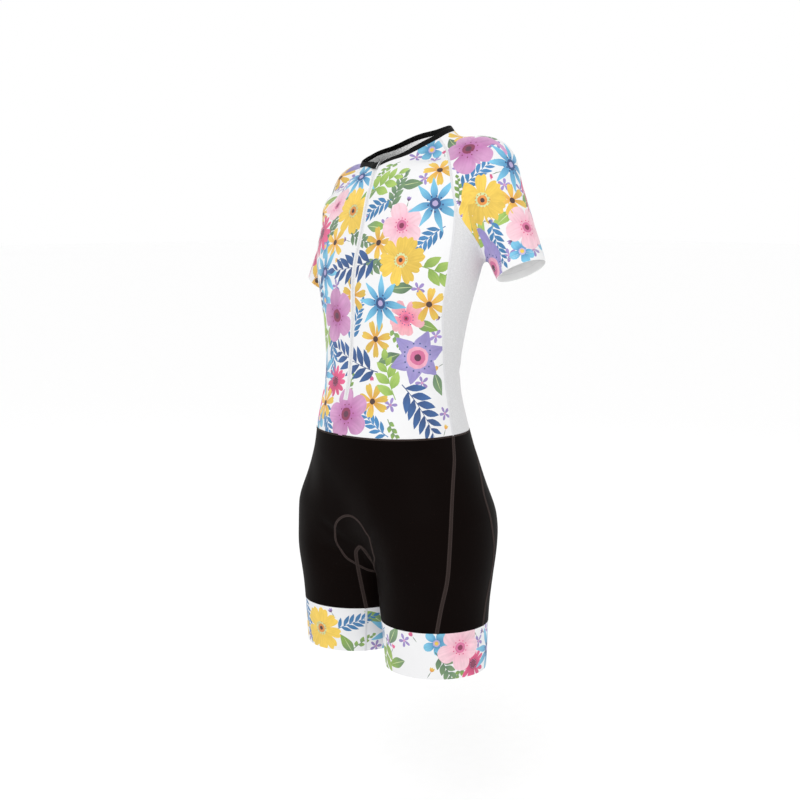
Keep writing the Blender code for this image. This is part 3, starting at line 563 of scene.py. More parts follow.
def pinned(line, count, start, end, free):
    """count even steps along a line, settled on the form, with both ends set."""
    points = settle(evenly(settle(line, free), count), free)
    points[0], points[-1] = start, end
    return points


def level_run(start, end, count, centre, height):
    """A seam at one height, swept about a vertical line through centre from start to end."""
    first = math.atan2(start[1] - centre[1], start[0] - centre[0])
    last = math.atan2(end[1] - centre[1], end[0] - centre[0])
    last += 2 * math.pi * round((first - last) / (2 * math.pi))
    angles = np.linspace(first, last, 8 * count + 1)
    radii = np.linspace(math.dist(start[:2], centre), math.dist(end[:2], centre), len(angles))
    line = np.stack([
        centre[0] + radii * np.cos(angles),
        centre[1] + radii * np.sin(angles),
        np.full(len(angles), height),
    ], axis=1)
    return pinned(line, count, start, end, (1, 1, 0))


def centre_line(start, end, count, x=0.0):
    """A line on the form at one x, between two points."""
    t = np.linspace(0, 1, 8 * count + 1)[:, None]
    line = start + (end - start) * t
    line[:, 0] = x
    return pinned(line, count, start, end, (0, 1, 1))


def patch(bottom, top, first, last):
    """A grid between four seams that share their corners, laid on the form and evened out."""
    u = np.linspace(0, 1, len(bottom))[None, :, None]
    v = np.linspace(0, 1, len(first))[:, None, None]
    ruled = (1 - v) * bottom + v * top + (1 - u) * first[:, None] + u * last[:, None]
    low = (1 - u) * bottom[0] + u * bottom[-1]
    high = (1 - u) * top[0] + u * top[-1]
    corners = (1 - v) * low + v * high
    grid = ruled - corners
    grid[0], grid[-1], grid[:, 0], grid[:, -1] = bottom, top, first, last
    for _ in range(PANEL_RELAXING):
        grid[1:-1, 1:-1] = settle(grid[1:-1, 1:-1], rounds=2)
        around = grid[:-2, 1:-1] + grid[2:, 1:-1] + grid[1:-1, :-2] + grid[1:-1, 2:]
        grid[1:-1, 1:-1] = (grid[1:-1, 1:-1] + around / 4) / 2
    grid[1:-1, 1:-1] = settle(grid[1:-1, 1:-1])
    return grid


def both_hands(grid):
    """The grid of a left piece and that of its right one, with their names."""
    return ("left", grid), ("right", flipped(grid))


def upper_seams():
    """The seams of the body and the left sleeve, as named lines of points."""
    s = {}
    s["neck_front"] = seam(NECK_FRONT, COLUMNS_BODY, start_x=ZIP_HALF_WIDTH)
    s["neck_sleeve"] = seam(NECK_SLEEVE, COLUMNS_NECK, (s["neck_front"][-1], None))
    s["neck_back"] = seam(NECK_BACK, COLUMNS_BODY, (s["neck_sleeve"][-1], None))
    s["neck_back"][-1, 0] = 0.0
    for name, knots in (("side_front", SIDE_FRONT), ("side_back", SIDE_BACK)):
        s[name] = seam(knots, ROWS_SIDE)
        s[name][0] = at_level(s[name][0], WAIST_SEAM)
    raglan_front = RAGLAN_FRONT + (tuple(s["neck_front"][-1] / MM),)
    raglan_back = RAGLAN_BACK + (tuple(s["neck_back"][0] / MM),)
    s["raglan_front"] = seam(raglan_front, ROWS_RAGLAN, (s["side_front"][-1], s["neck_front"][-1]))
    s["raglan_back"] = seam(raglan_back, ROWS_RAGLAN, (s["side_back"][-1], s["neck_back"][0]))
    s["underarm"] = seam(UNDERARM, COLUMNS_SIDE, (s["side_front"][-1], s["side_back"][-1]))
    guess = np.array([
        (ZIP_HALF_WIDTH, *WAIST_FRONT[1:]),
        (ZIP_HALF_WIDTH, WAIST_FRONT[1], ZIP_END),
        WAIST_BACK,
    ])
    zip_foot, zip_end, back_foot = settle(guess, (0, 1, 0))
    rows = ROWS_SIDE + ROWS_RAGLAN
    foot = centre_line(zip_foot, zip_end, ROWS_ZIP_FOOT, ZIP_HALF_WIDTH)
    s["zip_edge"] = centre_line(zip_end, s["neck_front"][0], rows - ROWS_ZIP_FOOT, ZIP_HALF_WIDTH)
    s["zip_side"] = joined(foot, s["zip_edge"])
    s["centre_back"] = centre_line(back_foot, s["neck_back"][-1], rows)
    ends = (zip_foot, s["side_front"][0], s["side_back"][0], back_foot)
    s.update(waist_runs(ends, (COLUMNS_BODY, COLUMNS_SIDE, COLUMNS_BODY)))
    return s


def waist_runs(ends, counts):
    """The waist seam in three runs from front to back."""
    names = ("waist_front", "waist_side", "waist_back")
    return level_runs(names, ends, counts, WAIST_MIDDLE, WAIST_SEAM)


def level_runs(names, ends, counts, centre, height):
    """Named seams at one height, each from one end to the next."""
    rows = zip(names, ends, ends[1:], counts)
    return {name: level_run(start, end, count, centre, height) for name, start, end, count in rows}


def front_sheet(s):
    """The whole front as one grid, and where the zip's slit is: its columns and the row of its foot."""
    outer = joined(s["side_front"], s["raglan_front"])
    left = patch(s["waist_front"], s["neck_front"], s["zip_side"], outer)
    middle = settle((left[:, 0] + flipped(left[:, 0])) / 2, (0, 1, 0))
    grid = np.concatenate([flipped(left)[:, ::-1], middle[:, None], left], axis=1)
    columns = left.shape[1] - 1
    return grid, (columns, columns + 2, ROWS_ZIP_FOOT)


def back_sheet(s):
    """The whole back as one grid."""
    outer = joined(s["side_back"], s["raglan_back"])
    left = patch(s["waist_back"], s["neck_back"], outer, s["centre_back"])
    return np.concatenate([left, flipped(left)[:, -2::-1]], axis=1)


def side_grid(s):
    """The left side panel."""
    return patch(s["waist_side"], s["underarm"], s["side_front"], s["side_back"])


def arm_axes():
    """Directions square to the left arm: over it, and to its front."""
    along = arm_direction(1)
    top = unit(np.cross(along, (0, 1, 0)))
    return top, np.cross(along, top)


def sleeve_turns(loop):
    """How far round the arm each lengthwise line runs, from the top over the front.

    Under the arm it follows the seam, and over the shoulder it is spread evenly.
    """
    top, front = arm_axes()
    first = COLUMNS_NECK // 2 + ROWS_RAGLAN
    last = first + COLUMNS_SIDE
    under = loop[first:last + 1] - SHOULDER
    angles = np.unwrap(np.arctan2(under @ front, under @ top))
    over_front = np.linspace(0, angles[0], first + 1)
    over_back = np.linspace(angles[-1], 2 * math.pi, len(loop) - last)
    return np.concatenate([over_front[:-1], angles, over_back[1:]])


def sleeve_hem_ring(turns, reach):
    """A ring around the left arm, square to it, at a reach from the shoulder."""
    top, front = arm_axes()
    ways = np.cos(turns)[:, None] * top + np.sin(turns)[:, None] * front
    middle = SHOULDER + arm_direction(1) * reach
    radii = np.full(len(ways), ARM_RADII[1])
    for _ in range(12):
        radii -= form(middle + ways * radii[:, None]) * 0.8
    return middle + ways * radii[:, None]


def sleeve_grid(s):
    """The left sleeve, in rings from the raglan seam to the hem."""
    front_half = s["neck_sleeve"][COLUMNS_NECK // 2::-1]
    back_half = s["neck_sleeve"][:COLUMNS_NECK // 2 - 1:-1]
    loop = joined(front_half, s["raglan_front"][::-1], s["underarm"], s["raglan_back"], back_half)
    hem = sleeve_hem_ring(sleeve_turns(loop), SLEEVE_HEM)
    lines = settle(sleeve_rings(loop, hem))
    grid = np.stack([evenly(lines[:, column], ROWS_SLEEVE) for column in range(len(loop))], axis=1)
    for _ in range(SLEEVE_RELAXING):
        grid[1:-1, :-1] = settle(grid[1:-1, :-1], rounds=2)
        inner = grid[:, :-1]
        beside = np.roll(inner, 1, axis=1) + np.roll(inner, -1, axis=1)
        grid[1:-1, :-1] = (inner[1:-1] + (inner[:-2] + inner[2:] + beside[1:-1]) / 4) / 2
    grid[1:-1, :-1] = settle(grid[1:-1, :-1])
    grid[:, -1] = grid[:, 0]
    return grid


def sleeve_rings(loop, hem):
    """Rings from the seam to the hem, kept inside the arm so that they settle onto its skin.

    Each lengthwise line leaves the seam square to it.
    """
    along_loop = np.roll(loop[:-1], -1, axis=0) - np.roll(loop[:-1], 1, axis=0)
    along_loop = np.vstack([along_loop, along_loop[:1]])
    leave = np.cross(along_loop, outward(loop))
    leave = unit(leave * np.sign((leave * (hem - loop)).sum()))
    reach = norm(hem - loop, axis=1)[:, None]
    t = np.linspace(0, 1, 4 * ROWS_SLEEVE + 1)[:, None, None]
    along = arm_direction(1)
    rings = hermite(t, loop, hem, leave * reach * SLEEVE_LEAVE, along * reach * SLEEVE_ARRIVE)
    down = np.clip((rings - SHOULDER) @ along, 0, None)
    core = SHOULDER + down[:, :, None] * along
    return rings + (core - rings) * SLEEVE_INSIDE * np.sin(math.pi * t) ** 0.5


def neck_edge(s):
    """The whole neck edge, from the left side of the zip round the back to its right side."""
    left = joined(s["neck_front"], s["neck_sleeve"], s["neck_back"])
    return joined(left, flipped(left)[::-1])


def raised(line, height):
    """The line moved up the form by a height."""
    along = np.gradient(line, axis=0)
    up = np.cross(outward(line), along)
    up = unit(up * np.sign(up[:, 2:3]))
    up[[0, -1], 0] = 0
    return settle(line + up * height, NEARLY_LEVEL)


def binding_grid(s):
    """The neck binding, one level above the next."""
    edge = neck_edge(s)
    heights = np.linspace(0, BINDING_HEIGHT, ROWS_BINDING + 1)
    rows = [edge] + [raised(edge, height) for height in heights[1:]]
    for row in rows:
        row[0, 0] = ZIP_HALF_WIDTH
        row[-1, 0] = -ZIP_HALF_WIDTH
    return np.stack(rows)


def tape_grid(s):
    """The left zip tape, from the foot of the slit to the top of the binding."""
    outer = np.vstack([s["zip_edge"], [binding_grid(s)[-1][0]]])
    inner = outer.copy()
    inner[:, 0] = 0.0
    return np.stack([settle(inner, (0, 1, 0)), outer], axis=1)


def garage_grid(s):
    """A patch over the zip's top end and the right end of the binding."""
    binding = binding_grid(s)
    across = np.linspace(GARAGE_OVERLAP, -GARAGE_REACH, COLUMNS_GARAGE + 1)
    right_top = at_each_x(binding[-1], across)
    right_low = at_each_x(binding[0], across)
    share = (across + GARAGE_REACH) / (GARAGE_OVERLAP + GARAGE_REACH)
    drop = GARAGE_DROP * np.clip(share, GARAGE_LEAST, 1) ** GARAGE_TAPER
    bottom = right_low + unit(right_low - right_top) * drop[:, None]
    v = np.linspace(0, 1, ROWS_GARAGE + 1)[:, None, None]
    return settle(bottom * (1 - v) + right_top * v, (0, *NEARLY_LEVEL[1:]))


def at_each_x(row, wanted):
    """Points at the wanted values of x along the right end of a row round the neck."""
    near = row[::-1][:COLUMNS_BODY + 1]
    points = read_line(-wanted, -near[:, 0], near)
    points[:, 0] = wanted
    return points


def lower_seams(upper):
    """The seams of the shorts on the left side."""
    s = {}
    front_foot = upper["side_front"][0]
    rear_foot = upper["side_back"][0]
    rows = ROWS_CENTRE + ROWS_INSEAM
    s["front_side"] = seam(SHORTS_FRONT_SIDE, rows, (front_foot, None))
    s["rear_side"] = seam(SHORTS_REAR_SIDE, rows, (rear_foot, None))
    for name, knots in (("inseam_front", INSEAM_FRONT), ("inseam_back", INSEAM_BACK)):
        s[name] = seam(knots, ROWS_INSEAM)
        s[name][0, 0] = 0.0
        s[name][0] = settle(s[name][:1], (0, 1, 1))[0]
    for name in ("front_side", "rear_side", "inseam_front", "inseam_back"):
        s[name][-1] = at_level(s[name][-1], BAND_TOP)
    s["crotch"] = seam(CROTCH, COLUMNS_CROTCH, (s["inseam_front"][0], s["inseam_back"][0]))
    s["crotch"][:, 0] = 0.0
    starts = settle(np.array([WAIST_FRONT, WAIST_BACK]), (0, 1, 0))
    s["centre_front"] = centre_line(starts[0], s["inseam_front"][0], ROWS_CENTRE)
    s["centre_back"] = centre_seat(starts[1], s["inseam_back"][0])
    counts = (COLUMNS_SHORTS, COLUMNS_SHORTS_SIDE, COLUMNS_SHORTS, COLUMNS_CROTCH)
    s.update(waist_runs((starts[0], front_foot, rear_foot, starts[1]), counts))
    lines = ("inseam_front", "front_side", "rear_side", "inseam_back", "inseam_front")
    corners = [s[name][-1] for name in lines]
    names = ("hem_front", "hem_side", "hem_back", "hem_inner")
    s.update(level_runs(names, corners, counts, LEG_END[:2], BAND_TOP))
    return s


def centre_seat(start, end):
    """The middle line over the seat, which bulges back between its ends."""
    knots = np.array(SEAT_MIDDLE) * MM
    knots[0], knots[-1] = start, end
    return pinned(smooth_line(knots), ROWS_CENTRE, start, end, (0, 1, 1))


def shorts_front_grids(s):
    """The left and right halves of the front, which are one piece of cloth."""
    inner = joined(s["centre_front"], s["inseam_front"])[::-1]
    main = patch(s["hem_front"], s["waist_front"], inner, s["front_side"][::-1])
    return [main, flipped(main)]


def shorts_side_grid(s):
    """The left side panel of the shorts."""
    return patch(s["hem_side"], s["waist_side"], s["front_side"][::-1], s["rear_side"][::-1])


def shorts_back_grids(s):
    """The left half of the seat, and the inside of its thigh."""
    inner = joined(s["centre_back"], s["inseam_back"])[::-1]
    main = patch(s["hem_back"], s["waist_back"], s["rear_side"][::-1], inner)
    thigh = patch(s["hem_inner"], s["crotch"][::-1], s["inseam_back"][::-1], s["inseam_front"][::-1])
    return [main, thigh]


def band_grid(s):
    """The left leg band: level rings from the hem up to the shorts."""
    top = joined(s["hem_front"], s["hem_side"], s["hem_back"], s["hem_inner"])
    rows = []
    for height in np.linspace(0, BAND_TOP, ROWS_BAND + 1):
        ring = top.copy()
        ring[:, 2] = height
        rows.append(settle(ring, (1, 1, 0)))
    return np.stack(rows)


# -------- what each piece is

# Seeds of the dice that place each piece's print
SEEDS = {
    ("front", ""): 11,
    ("back", ""): 12,
    ("sleeve", "left"): 21,
    ("sleeve", "right"): 22,
    ("leg_band", "left"): 31,
    ("leg_band", "right"): 32,
}
# Places without print, in metres on the form, and how far around them nothing is printed
BARE = {
    ("front", ""): (((0.065, -0.037, 0.787), 0.024),),
    ("leg_band", "left"): (((0.128, -0.089, 0.031), 0.029),),
}


# -------- fine grids


def finer(grid, factor):
    """A grid with factor times as many steps each way, on smooth curves through its points."""
    for _ in range(2):
        columns = [smooth_line(grid[:, j], factor) for j in range(grid.shape[1])]
        grid = np.stack(columns, axis=1).transpose(1, 0, 2)
    return settle(grid, rounds=4)


def wrapped(grid, factor):
    """The same for a grid whose first and last columns are one line round a tube."""
    pad = 2
    wide = np.concatenate([grid[:, -1 - pad:-1], grid, grid[:, 1:1 + pad]], axis=1)
    fine = finer(wide, factor)[:, pad * factor:-pad * factor]
    fine[:, -1] = fine[:, 0]
    return fine


def spans(grid):
    """How wide and how long a grid is, on average."""
    across = norm(np.diff(grid, axis=1), axis=2).sum(axis=1).mean()
    along = norm(np.diff(grid, axis=0), axis=2).sum(axis=0).mean()
    return across, along


def looked_up(grid, u, v):
    """Points of a grid at shares u across and v along it, settled onto the form."""
    rows, columns = grid.shape[:2]
    x = np.clip(u, 0, 1) * (columns - 1)
    y = np.clip(v, 0, 1) * (rows - 1)
    j = np.minimum(x.astype(int), columns - 2)
    i = np.minimum(y.astype(int), rows - 2)
    a = (x - j)[:, None]
    b = (y - i)[:, None]
    low = grid[i, j] * (1 - a) + grid[i, j + 1] * a
    high = grid[i + 1, j] * (1 - a) + grid[i + 1, j + 1] * a
    return settle(low * (1 - b) + high * b, rounds=3)


class Lookup:
    """Finds at which shares u and v of a grid points of the form lie, and how far off it they are."""

    def __init__(self, grid):
        self.grid = grid
        rows, columns = grid.shape[:2]
        self.tree = KDTree(rows * columns)
        for index, point in enumerate(grid.reshape(-1, 3)):
            self.tree.insert(point, index)
        self.tree.balance()

    def shares(self, points):
        rows, columns = self.grid.shape[:2]
        nearest = [self.tree.find(point) for point in points]
        found = np.array([index for _, index, _ in nearest])
        off = np.array([gap for _, _, gap in nearest])
        i, j = np.divmod(found, columns)
        for _ in range(2):
            i0, i1 = np.clip((i - 1, i + 1), 0, rows - 1)
            j0, j1 = np.clip((j - 1, j + 1), 0, columns - 1)
            across = (self.grid[i, j1] - self.grid[i, j0]) / (j1 - j0)[:, None]
            along = (self.grid[i1, j] - self.grid[i0, j]) / (i1 - i0)[:, None]
            gap = points - self.grid[i, j]
            aa, bb, ab = (across**2).sum(1), (along**2).sum(1), (across * along).sum(1)
            ga, gb = (gap * across).sum(1), (gap * along).sum(1)
            size = np.maximum(aa * bb - ab**2, 1e-18)
            x = j + (ga * bb - gb * ab) / size
            y = i + (gb * aa - ga * ab) / size
            j = np.clip(np.round(x), 0, columns - 1).astype(int)
            i = np.clip(np.round(y), 0, rows - 1).astype(int)
        return x / (columns - 1), y / (rows - 1), off


# -------- meshes


def new_piece(name, verts, faces, ways=None, materials=(), slots=None):
    """A mesh object, shaded smooth along the given directions, that rides on the suit's one body."""
    mesh = bpy.data.meshes.new(name)
    mesh.from_pydata(np.asarray(verts).tolist(), [], [list(map(int, face)) for face in faces])
    for material in materials:
        mesh.materials.append(material)
    if slots is not None:
        mesh.polygons.foreach_set("material_index", slots.astype(np.int32))
    mesh.shade_smooth()
    if ways is not None:
        mesh.normals_split_custom_set_from_vertices(np.asarray(ways).tolist())
    mesh.update()
    piece = bpy.data.objects.new(name, mesh)
    bpy.context.scene.collection.objects.link(piece)
    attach(piece, "root")
    return piece


def apart(faces):
    """Which triangles have three different corners."""
    return (faces != np.roll(faces, 1, axis=1)).all(axis=1)


def rim_edges(faces):
    """Edges that only one face has, each as that face runs along it."""
    pairs = np.stack([np.roll(faces, 1, axis=1), faces], axis=2).reshape(-1, 2)
    _, first, count = np.unique(np.sort(pairs, axis=1), axis=0, return_index=True, return_counts=True)
    return pairs[first[count == 1]]


def shell(points, faces, wall, lift=0.0):
    """Both sides of a thin cloth and its cut edge: places, directions, faces and their material slots."""
    outer, normals = laid_with_normals(points, lift)
    inner = laid(points, lift - wall)
    rims = rim_edges(faces)
    edge, rim = np.unique(rims, return_inverse=True)
    base, below = 2 * len(points), len(edge)
    first, second = rim.reshape(rims.shape).T + base
    verts = np.vstack([outer, inner, outer[edge], inner[edge]])
    ways = np.vstack([normals, -normals, np.zeros((2 * below, 3))])
    sides = unit(np.cross(outer[rims[:, 1]] - outer[rims[:, 0]], normals[rims[:, 0]]))
    for corner in (first, second, first + below, second + below):
        np.add.at(ways, corner, sides)
    ways[base:] = unit(ways[base:])
    edge_faces = np.stack([second, first, first + below, second + below], axis=1)
    all_faces = [*faces.tolist(), *(faces[:, ::-1] + len(points)).tolist(), *edge_faces.tolist()]
    return verts, ways, all_faces, np.arange(len(all_faces)) >= len(faces)


def grid_faces(rows, columns):
    """The quads of a grid of points."""
    i, j = np.mgrid[0:rows - 1, 0:columns - 1]
    corner = (i * columns + j).ravel()
    return np.stack([corner, corner + 1, corner + columns + 1, corner + columns], axis=1)


def facing_out(points, faces):
    """The faces, turned over if as a whole they face into the form."""
    a, b, c = (points[faces[:, k]] for k in range(3))
    ways = np.cross(b - a, c - a)
    pick = slice(None, None, max(1, len(faces) // 400))
    toward = (outward(a[pick]) * ways[pick]).sum()
    return faces if toward > 0 else faces[:, ::-1]


def welded(points, faces, reach=0.02 * MM):
    """Joins points that lie in one place."""
    keys = np.round(points / reach).astype(np.int64)
    _, first, back = np.unique(keys, axis=0, return_index=True, return_inverse=True)
    return points[first], back.reshape(-1)[faces]


def cloth_piece(kind, side, points, triangles, materials):
    """Cloth in place of its solid: the left or right one, or the only one where side is empty."""
    node = f"{kind}_{side}" if side else kind
    verts, ways, faces, slots = shell(points, triangles, WALL)
    piece = new_piece(f"{node}_cloth", verts, faces, ways, materials, slots)
    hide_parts(node)
    return piece


def grid_points(fine):
    """Even points over a fine grid, and the quads between them."""
    columns, rows = (max(2, round(span / CLOTH_STEP)) for span in spans(fine))
    v, u = np.meshgrid(np.linspace(0, 1, rows + 1), np.linspace(0, 1, columns + 1), indexing="ij")
    points = looked_up(fine, u.ravel(), v.ravel())
    return points, facing_out(points, grid_faces(rows + 1, columns + 1))


def plain_cloth(kind, side, grids, materials):
    """A cloth piece without a print, from grids of the form that share their edges."""
    places, faces, start = [], [], 0
    for grid in grids:
        points, quads = grid_points(finer(grid, FINE))
        faces.append(quads + start)
        places.append(points)
        start += len(points)
    points, quads = welded(np.vstack(places), np.vstack(faces))
    triangles = np.vstack([quads[:, [0, 1, 2]], quads[:, [0, 2, 3]]])
    cloth_piece(kind, side, points, triangles[apart(triangles)], materials)


# -------- the flower print

# Half widths of petals and leaves, as shares of the widest, at shares of the length from the root
OUTLINES = {
    "long": ((0, 0.20), (0.25, 0.55), (0.50, 0.88), (0.72, 1.0), (0.88, 0.78), (0.97, 0.40), (1, 0)),
    "round": ((0, 0.16), (0.20, 0.48), (0.45, 0.88), (0.65, 1.0), (0.84, 0.86), (0.96, 0.48), (1, 0)),
    "pointed": ((0, 0.16), (0.18, 0.58), (0.40, 0.98), (0.58, 0.95), (0.80, 0.50), (1, 0)),
    "notched": ((0, 0.14), (0.25, 0.50), (0.55, 0.88), (0.80, 1.0), (0.95, 0.76), (1.0, 0.38), (0.93, 0)),
    "leaf": ((0, 0.04), (0.14, 0.50), (0.34, 0.96), (0.52, 1.0), (0.74, 0.70), (0.90, 0.30), (1, 0)),
}

# Columns: petals, width as a share of their length, outline, ink at the root, ink at the tip
PETALS = {
    "marguerite": (13, 0.30, "long", "crimson", "hot_pink"),
    "mallow": (5, 0.84, "round", "blush", "shell_pink"),
    "tickseed": (7, 0.42, "notched", "amber", "corn_yellow"),
    "sunflower": (9, 0.50, "notched", "corn_yellow", "sun_yellow"),
    "forget": (5, 0.66, "round", "azure", "sky_blue"),
    "starwort": (8, 0.25, "pointed", "azure", "sky_blue"),
    "anemone": (6, 0.56, "pointed", "lilac", "periwinkle"),
    "cosmos": (5, 0.80, "round", "magenta", "orchid"),
    "poppy": (5, 0.86, "notched", "hot_pink", "salmon"),
    "violet": (5, 0.44, "round", "periwinkle", "violet"),
}

# Discs at the middle of each flower, the largest first: share of the petals' length, and ink
CENTRES = {
    "marguerite": ((0.30, "plum"), (0.19, "berry")),
    "mallow": ((0.24, "rose"), (0.12, "berry")),
    "tickseed": ((0.17, "bark"),),
    "sunflower": ((0.30, "pale_green"), (0.20, "orange"), (0.09, "bark")),
    "forget": ((0.26, "pale_lilac"), (0.15, "sun_yellow")),
    "starwort": ((0.20, "navy"), (0.10, "pale_lilac")),
    "anemone": ((0.38, "blush"), (0.26, "rose"), (0.12, "plum")),
    "cosmos": ((0.24, "berry"), (0.12, "plum")),
    "poppy": ((0.24, "rose"), (0.15, "crimson"), (0.07, "plum")),
    "violet": ((0.20, "orchid"),),
}

# Rings of small dots round the middle: how many, how far out, how wide, and ink
DOTS = {
    "marguerite": (14, 0.25, 0.036, "rose"),
    "mallow": (11, 0.31, 0.034, "hot_pink"),
    "sunflower": (12, 0.26, 0.034, "amber"),
    "starwort": (9, 0.26, 0.034, "navy"),
    "anemone": (15, 0.47, 0.030, "navy"),
    "cosmos": (10, 0.34, 0.030, "berry"),
    "poppy": (13, 0.36, 0.032, "navy"),
}

# Columns: pairs of leaves, leaf length, leaf width, ink at the root, ink at the tip, lean in degrees
STEMS = {
    "frond": (6, 0.38, 0.125, "navy", "mid_navy", 52),
    "fern": (6, 0.32, 0.105, "mid_blue", "azure", 46),
    "sprig": (3, 0.50, 0.24, "leaf_green", "lime", 48),
    "branch": (5, 0.33, 0.15, "sage", "moss", 42),
    "twig": (3, 0.30, 0.19, "moss", "leaf_green", 40),
}
# How unevenly petals and leaves are drawn: their sides, their bend, and the edges of spots
UNEVEN_SIDES = 0.07
UNEVEN_BEND = 0.10
UNEVEN_SPOT = 0.06
STEM_WIDTH = 1.5
RIB_WIDTH = 1.2
STEM_BEND = 0.16
# How much less the leaves lean at the tip than at the root, in degrees
STEM_CLOSING = 14

# What is printed where. Columns: motif, size in mm, and how many on each kind of piece
PRINT_COLUMNS = ("motif", "size", "front", "back", "sleeve", "leg_band")
PRINT = (
    ("marguerite", 88, 2, 2, 1, 0),
    ("anemone", 92, 2, 2, 1, 0),
    ("cosmos", 88, 2, 2, 1, 0),
    ("sunflower", 78, 3, 3, 1, 1),
    ("frond", 96, 4, 4, 1, 1),
    ("starwort", 92, 5, 5, 1, 1),
    ("mallow", 74, 2, 2, 1, 1),
    ("sprig", 62, 5, 5, 2, 1),
    ("tickseed", 56, 9, 9, 4, 2),
    ("poppy", 58, 1, 2, 0, 0),
    ("fern", 66, 6, 6, 3, 2),
    ("marguerite", 54, 1, 1, 0, 2),
    ("branch", 62, 4, 4, 2, 1),
    ("forget", 44, 5, 5, 2, 1),
    ("leaf", 40, 9, 9, 4, 4),
    ("twig", 38, 6, 6, 3, 2),
    ("violet", 23, 18, 18, 10, 7),
    ("bud", 15, 12, 12, 8, 8),
)
# Small motifs may come closer to the others, and large ones keep a share of their size clear
CROWDING = 0.74
CANDIDATES = 60
INSET = 0.28
MARCH_STEP = 10.0
CLOTH_POINTS = 4.2
PAST_EDGE = 7.0
STRAY = 0.22
LEAST_POINTS = 12
WELD = 1e-6
MOTIF_SEED = 1000
SHADE_SPREAD = 0.10

Shape = collections.namedtuple("Shape", "outline start end half_width first last")


def blade(length, width, kind, turn, dice, first, last, start=(0.0, 0.0), samples=1):
    """A petal or leaf that leaves start at an angle, with a slight bend and uneven sides."""
    table = np.array(OUTLINES[kind], float)
    sides = []
    for _ in range(2):
        side = table.copy()
        side[1:-1, 1] *= 1 + dice.uniform(-UNEVEN_SIDES, UNEVEN_SIDES, len(side) - 2)
        sides.append(side)
    line = np.vstack([sides[0] * (1, 1), (sides[1] * (1, -1))[::-1][1:]])
    if samples > 1:
        line = smooth_line(np.column_stack([line, np.zeros(len(line))]), samples)[:, :2]
    bend = dice.uniform(-UNEVEN_BEND, UNEVEN_BEND) * length
    out = line[:, 0] * length
    aside = line[:, 1] * width / 2 + bend * line[:, 0] ** 2
    c, s = math.cos(turn), math.sin(turn)
    points = np.stack([out * c - aside * s, out * s + aside * c], axis=1) + start
    end = np.array([length * c - bend * s, length * s + bend * c]) + start
    return Shape(points, np.array(start, float), end, width / 2, first, last)


def disc(radius, dice, ink, centre=(0.0, 0.0), count=12):
    """A round spot with a slightly uneven edge."""
    turns = np.arange(count) * 2 * math.pi / count
    radii = radius * (1 + dice.uniform(-UNEVEN_SPOT, UNEVEN_SPOT, count))
    points = np.stack([radii * np.cos(turns), radii * np.sin(turns)], axis=1) + centre
    start = np.array(centre, float) - (radius, 0)
    return Shape(points, start, start + (2 * radius, 0), radius, ink, ink)


def flower(kind, size, dice):
    """A flower seen from the front: its petals, its middle and the dots round that."""
    petals, width, outline, root, tip = PETALS[kind]
    reach = size / 2
    samples = 2 if size > 60 and petals < 10 else 1
    shapes = []
    start = dice.uniform(0, 2 * math.pi)
    for index in range(petals):
        turn = start + (index + dice.uniform(-0.10, 0.10)) * 2 * math.pi / petals
        long = reach * dice.uniform(0.92, 1.04)
        wide = reach * width * dice.uniform(0.92, 1.06)
        shapes.append(blade(long, wide, outline, turn, dice, root, tip, samples=samples))
    for share, ink in CENTRES[kind]:
        shapes.append(disc(share * reach, dice, ink))
    if kind in DOTS:
        count, out, wide, ink = DOTS[kind]
        for turn in (np.arange(count) + dice.uniform(-0.2, 0.2, count)) * 2 * math.pi / count:
            spot = reach * out * dice.uniform(0.92, 1.12) * np.array([math.cos(turn), math.sin(turn)])
            shapes.append(disc(max(wide * reach, 0.7), dice, ink, spot, count=6))
    return shapes


def stem(kind, size, dice):
    """A bent stem with pairs of leaves that get shorter towards its tip."""
    pairs, long, wide, root, tip, lean = STEMS[kind]
    t = np.linspace(0, 1, 2 * pairs + 2)
    bend = STEM_BEND * size * dice.choice((-1, 1))
    middle = np.stack([bend * (t**2 - 0.3), size * (t - 0.5)], axis=1)
    width = STEM_WIDTH * (1 - 0.6 * t)[:, None] / 2
    side = np.array([1.0, 0.0])
    outline = np.vstack([middle - side * width, (middle + side * width)[::-1]])
    shapes = [Shape(outline, middle[0], middle[-1], STEM_WIDTH, root, root)]
    for index in range(1, 2 * pairs + 1):
        share = t[index]
        way = middle[index + 1] - middle[index - 1]
        along = math.atan2(way[1], way[0])
        shrink = math.sin(math.pi * (0.30 + 0.62 * share)) ** 0.7
        turn = along + math.radians(lean - STEM_CLOSING * share) * (1 if index % 2 else -1)
        length = size * long * shrink * dice.uniform(0.92, 1.06)
        shapes.append(blade(length, size * wide * shrink, "leaf", turn, dice, root, tip, middle[index]))
    way = middle[-1] - middle[-2]
    last = math.atan2(way[1], way[0])
    shapes.append(blade(size * long * 0.62, size * wide * 0.8, "leaf", last, dice, root, tip, middle[-1]))
    return shapes


def single_leaf(size, dice):
    """One broad leaf with a pale rib, in one of three greens."""
    root, tip = (("leaf_green", "lime"), ("sage", "moss"), ("moss", "leaf_green"))[dice.integers(3)]
    start = (0, -size / 2)
    turn = math.pi / 2
    leaf = blade(size, size * 0.42, "leaf", turn, dice, root, tip, start, samples=2)
    rib = blade(size * 0.86, RIB_WIDTH, "pointed", turn, dice, "pale_green", "pale_green", start)
    return [leaf, rib]


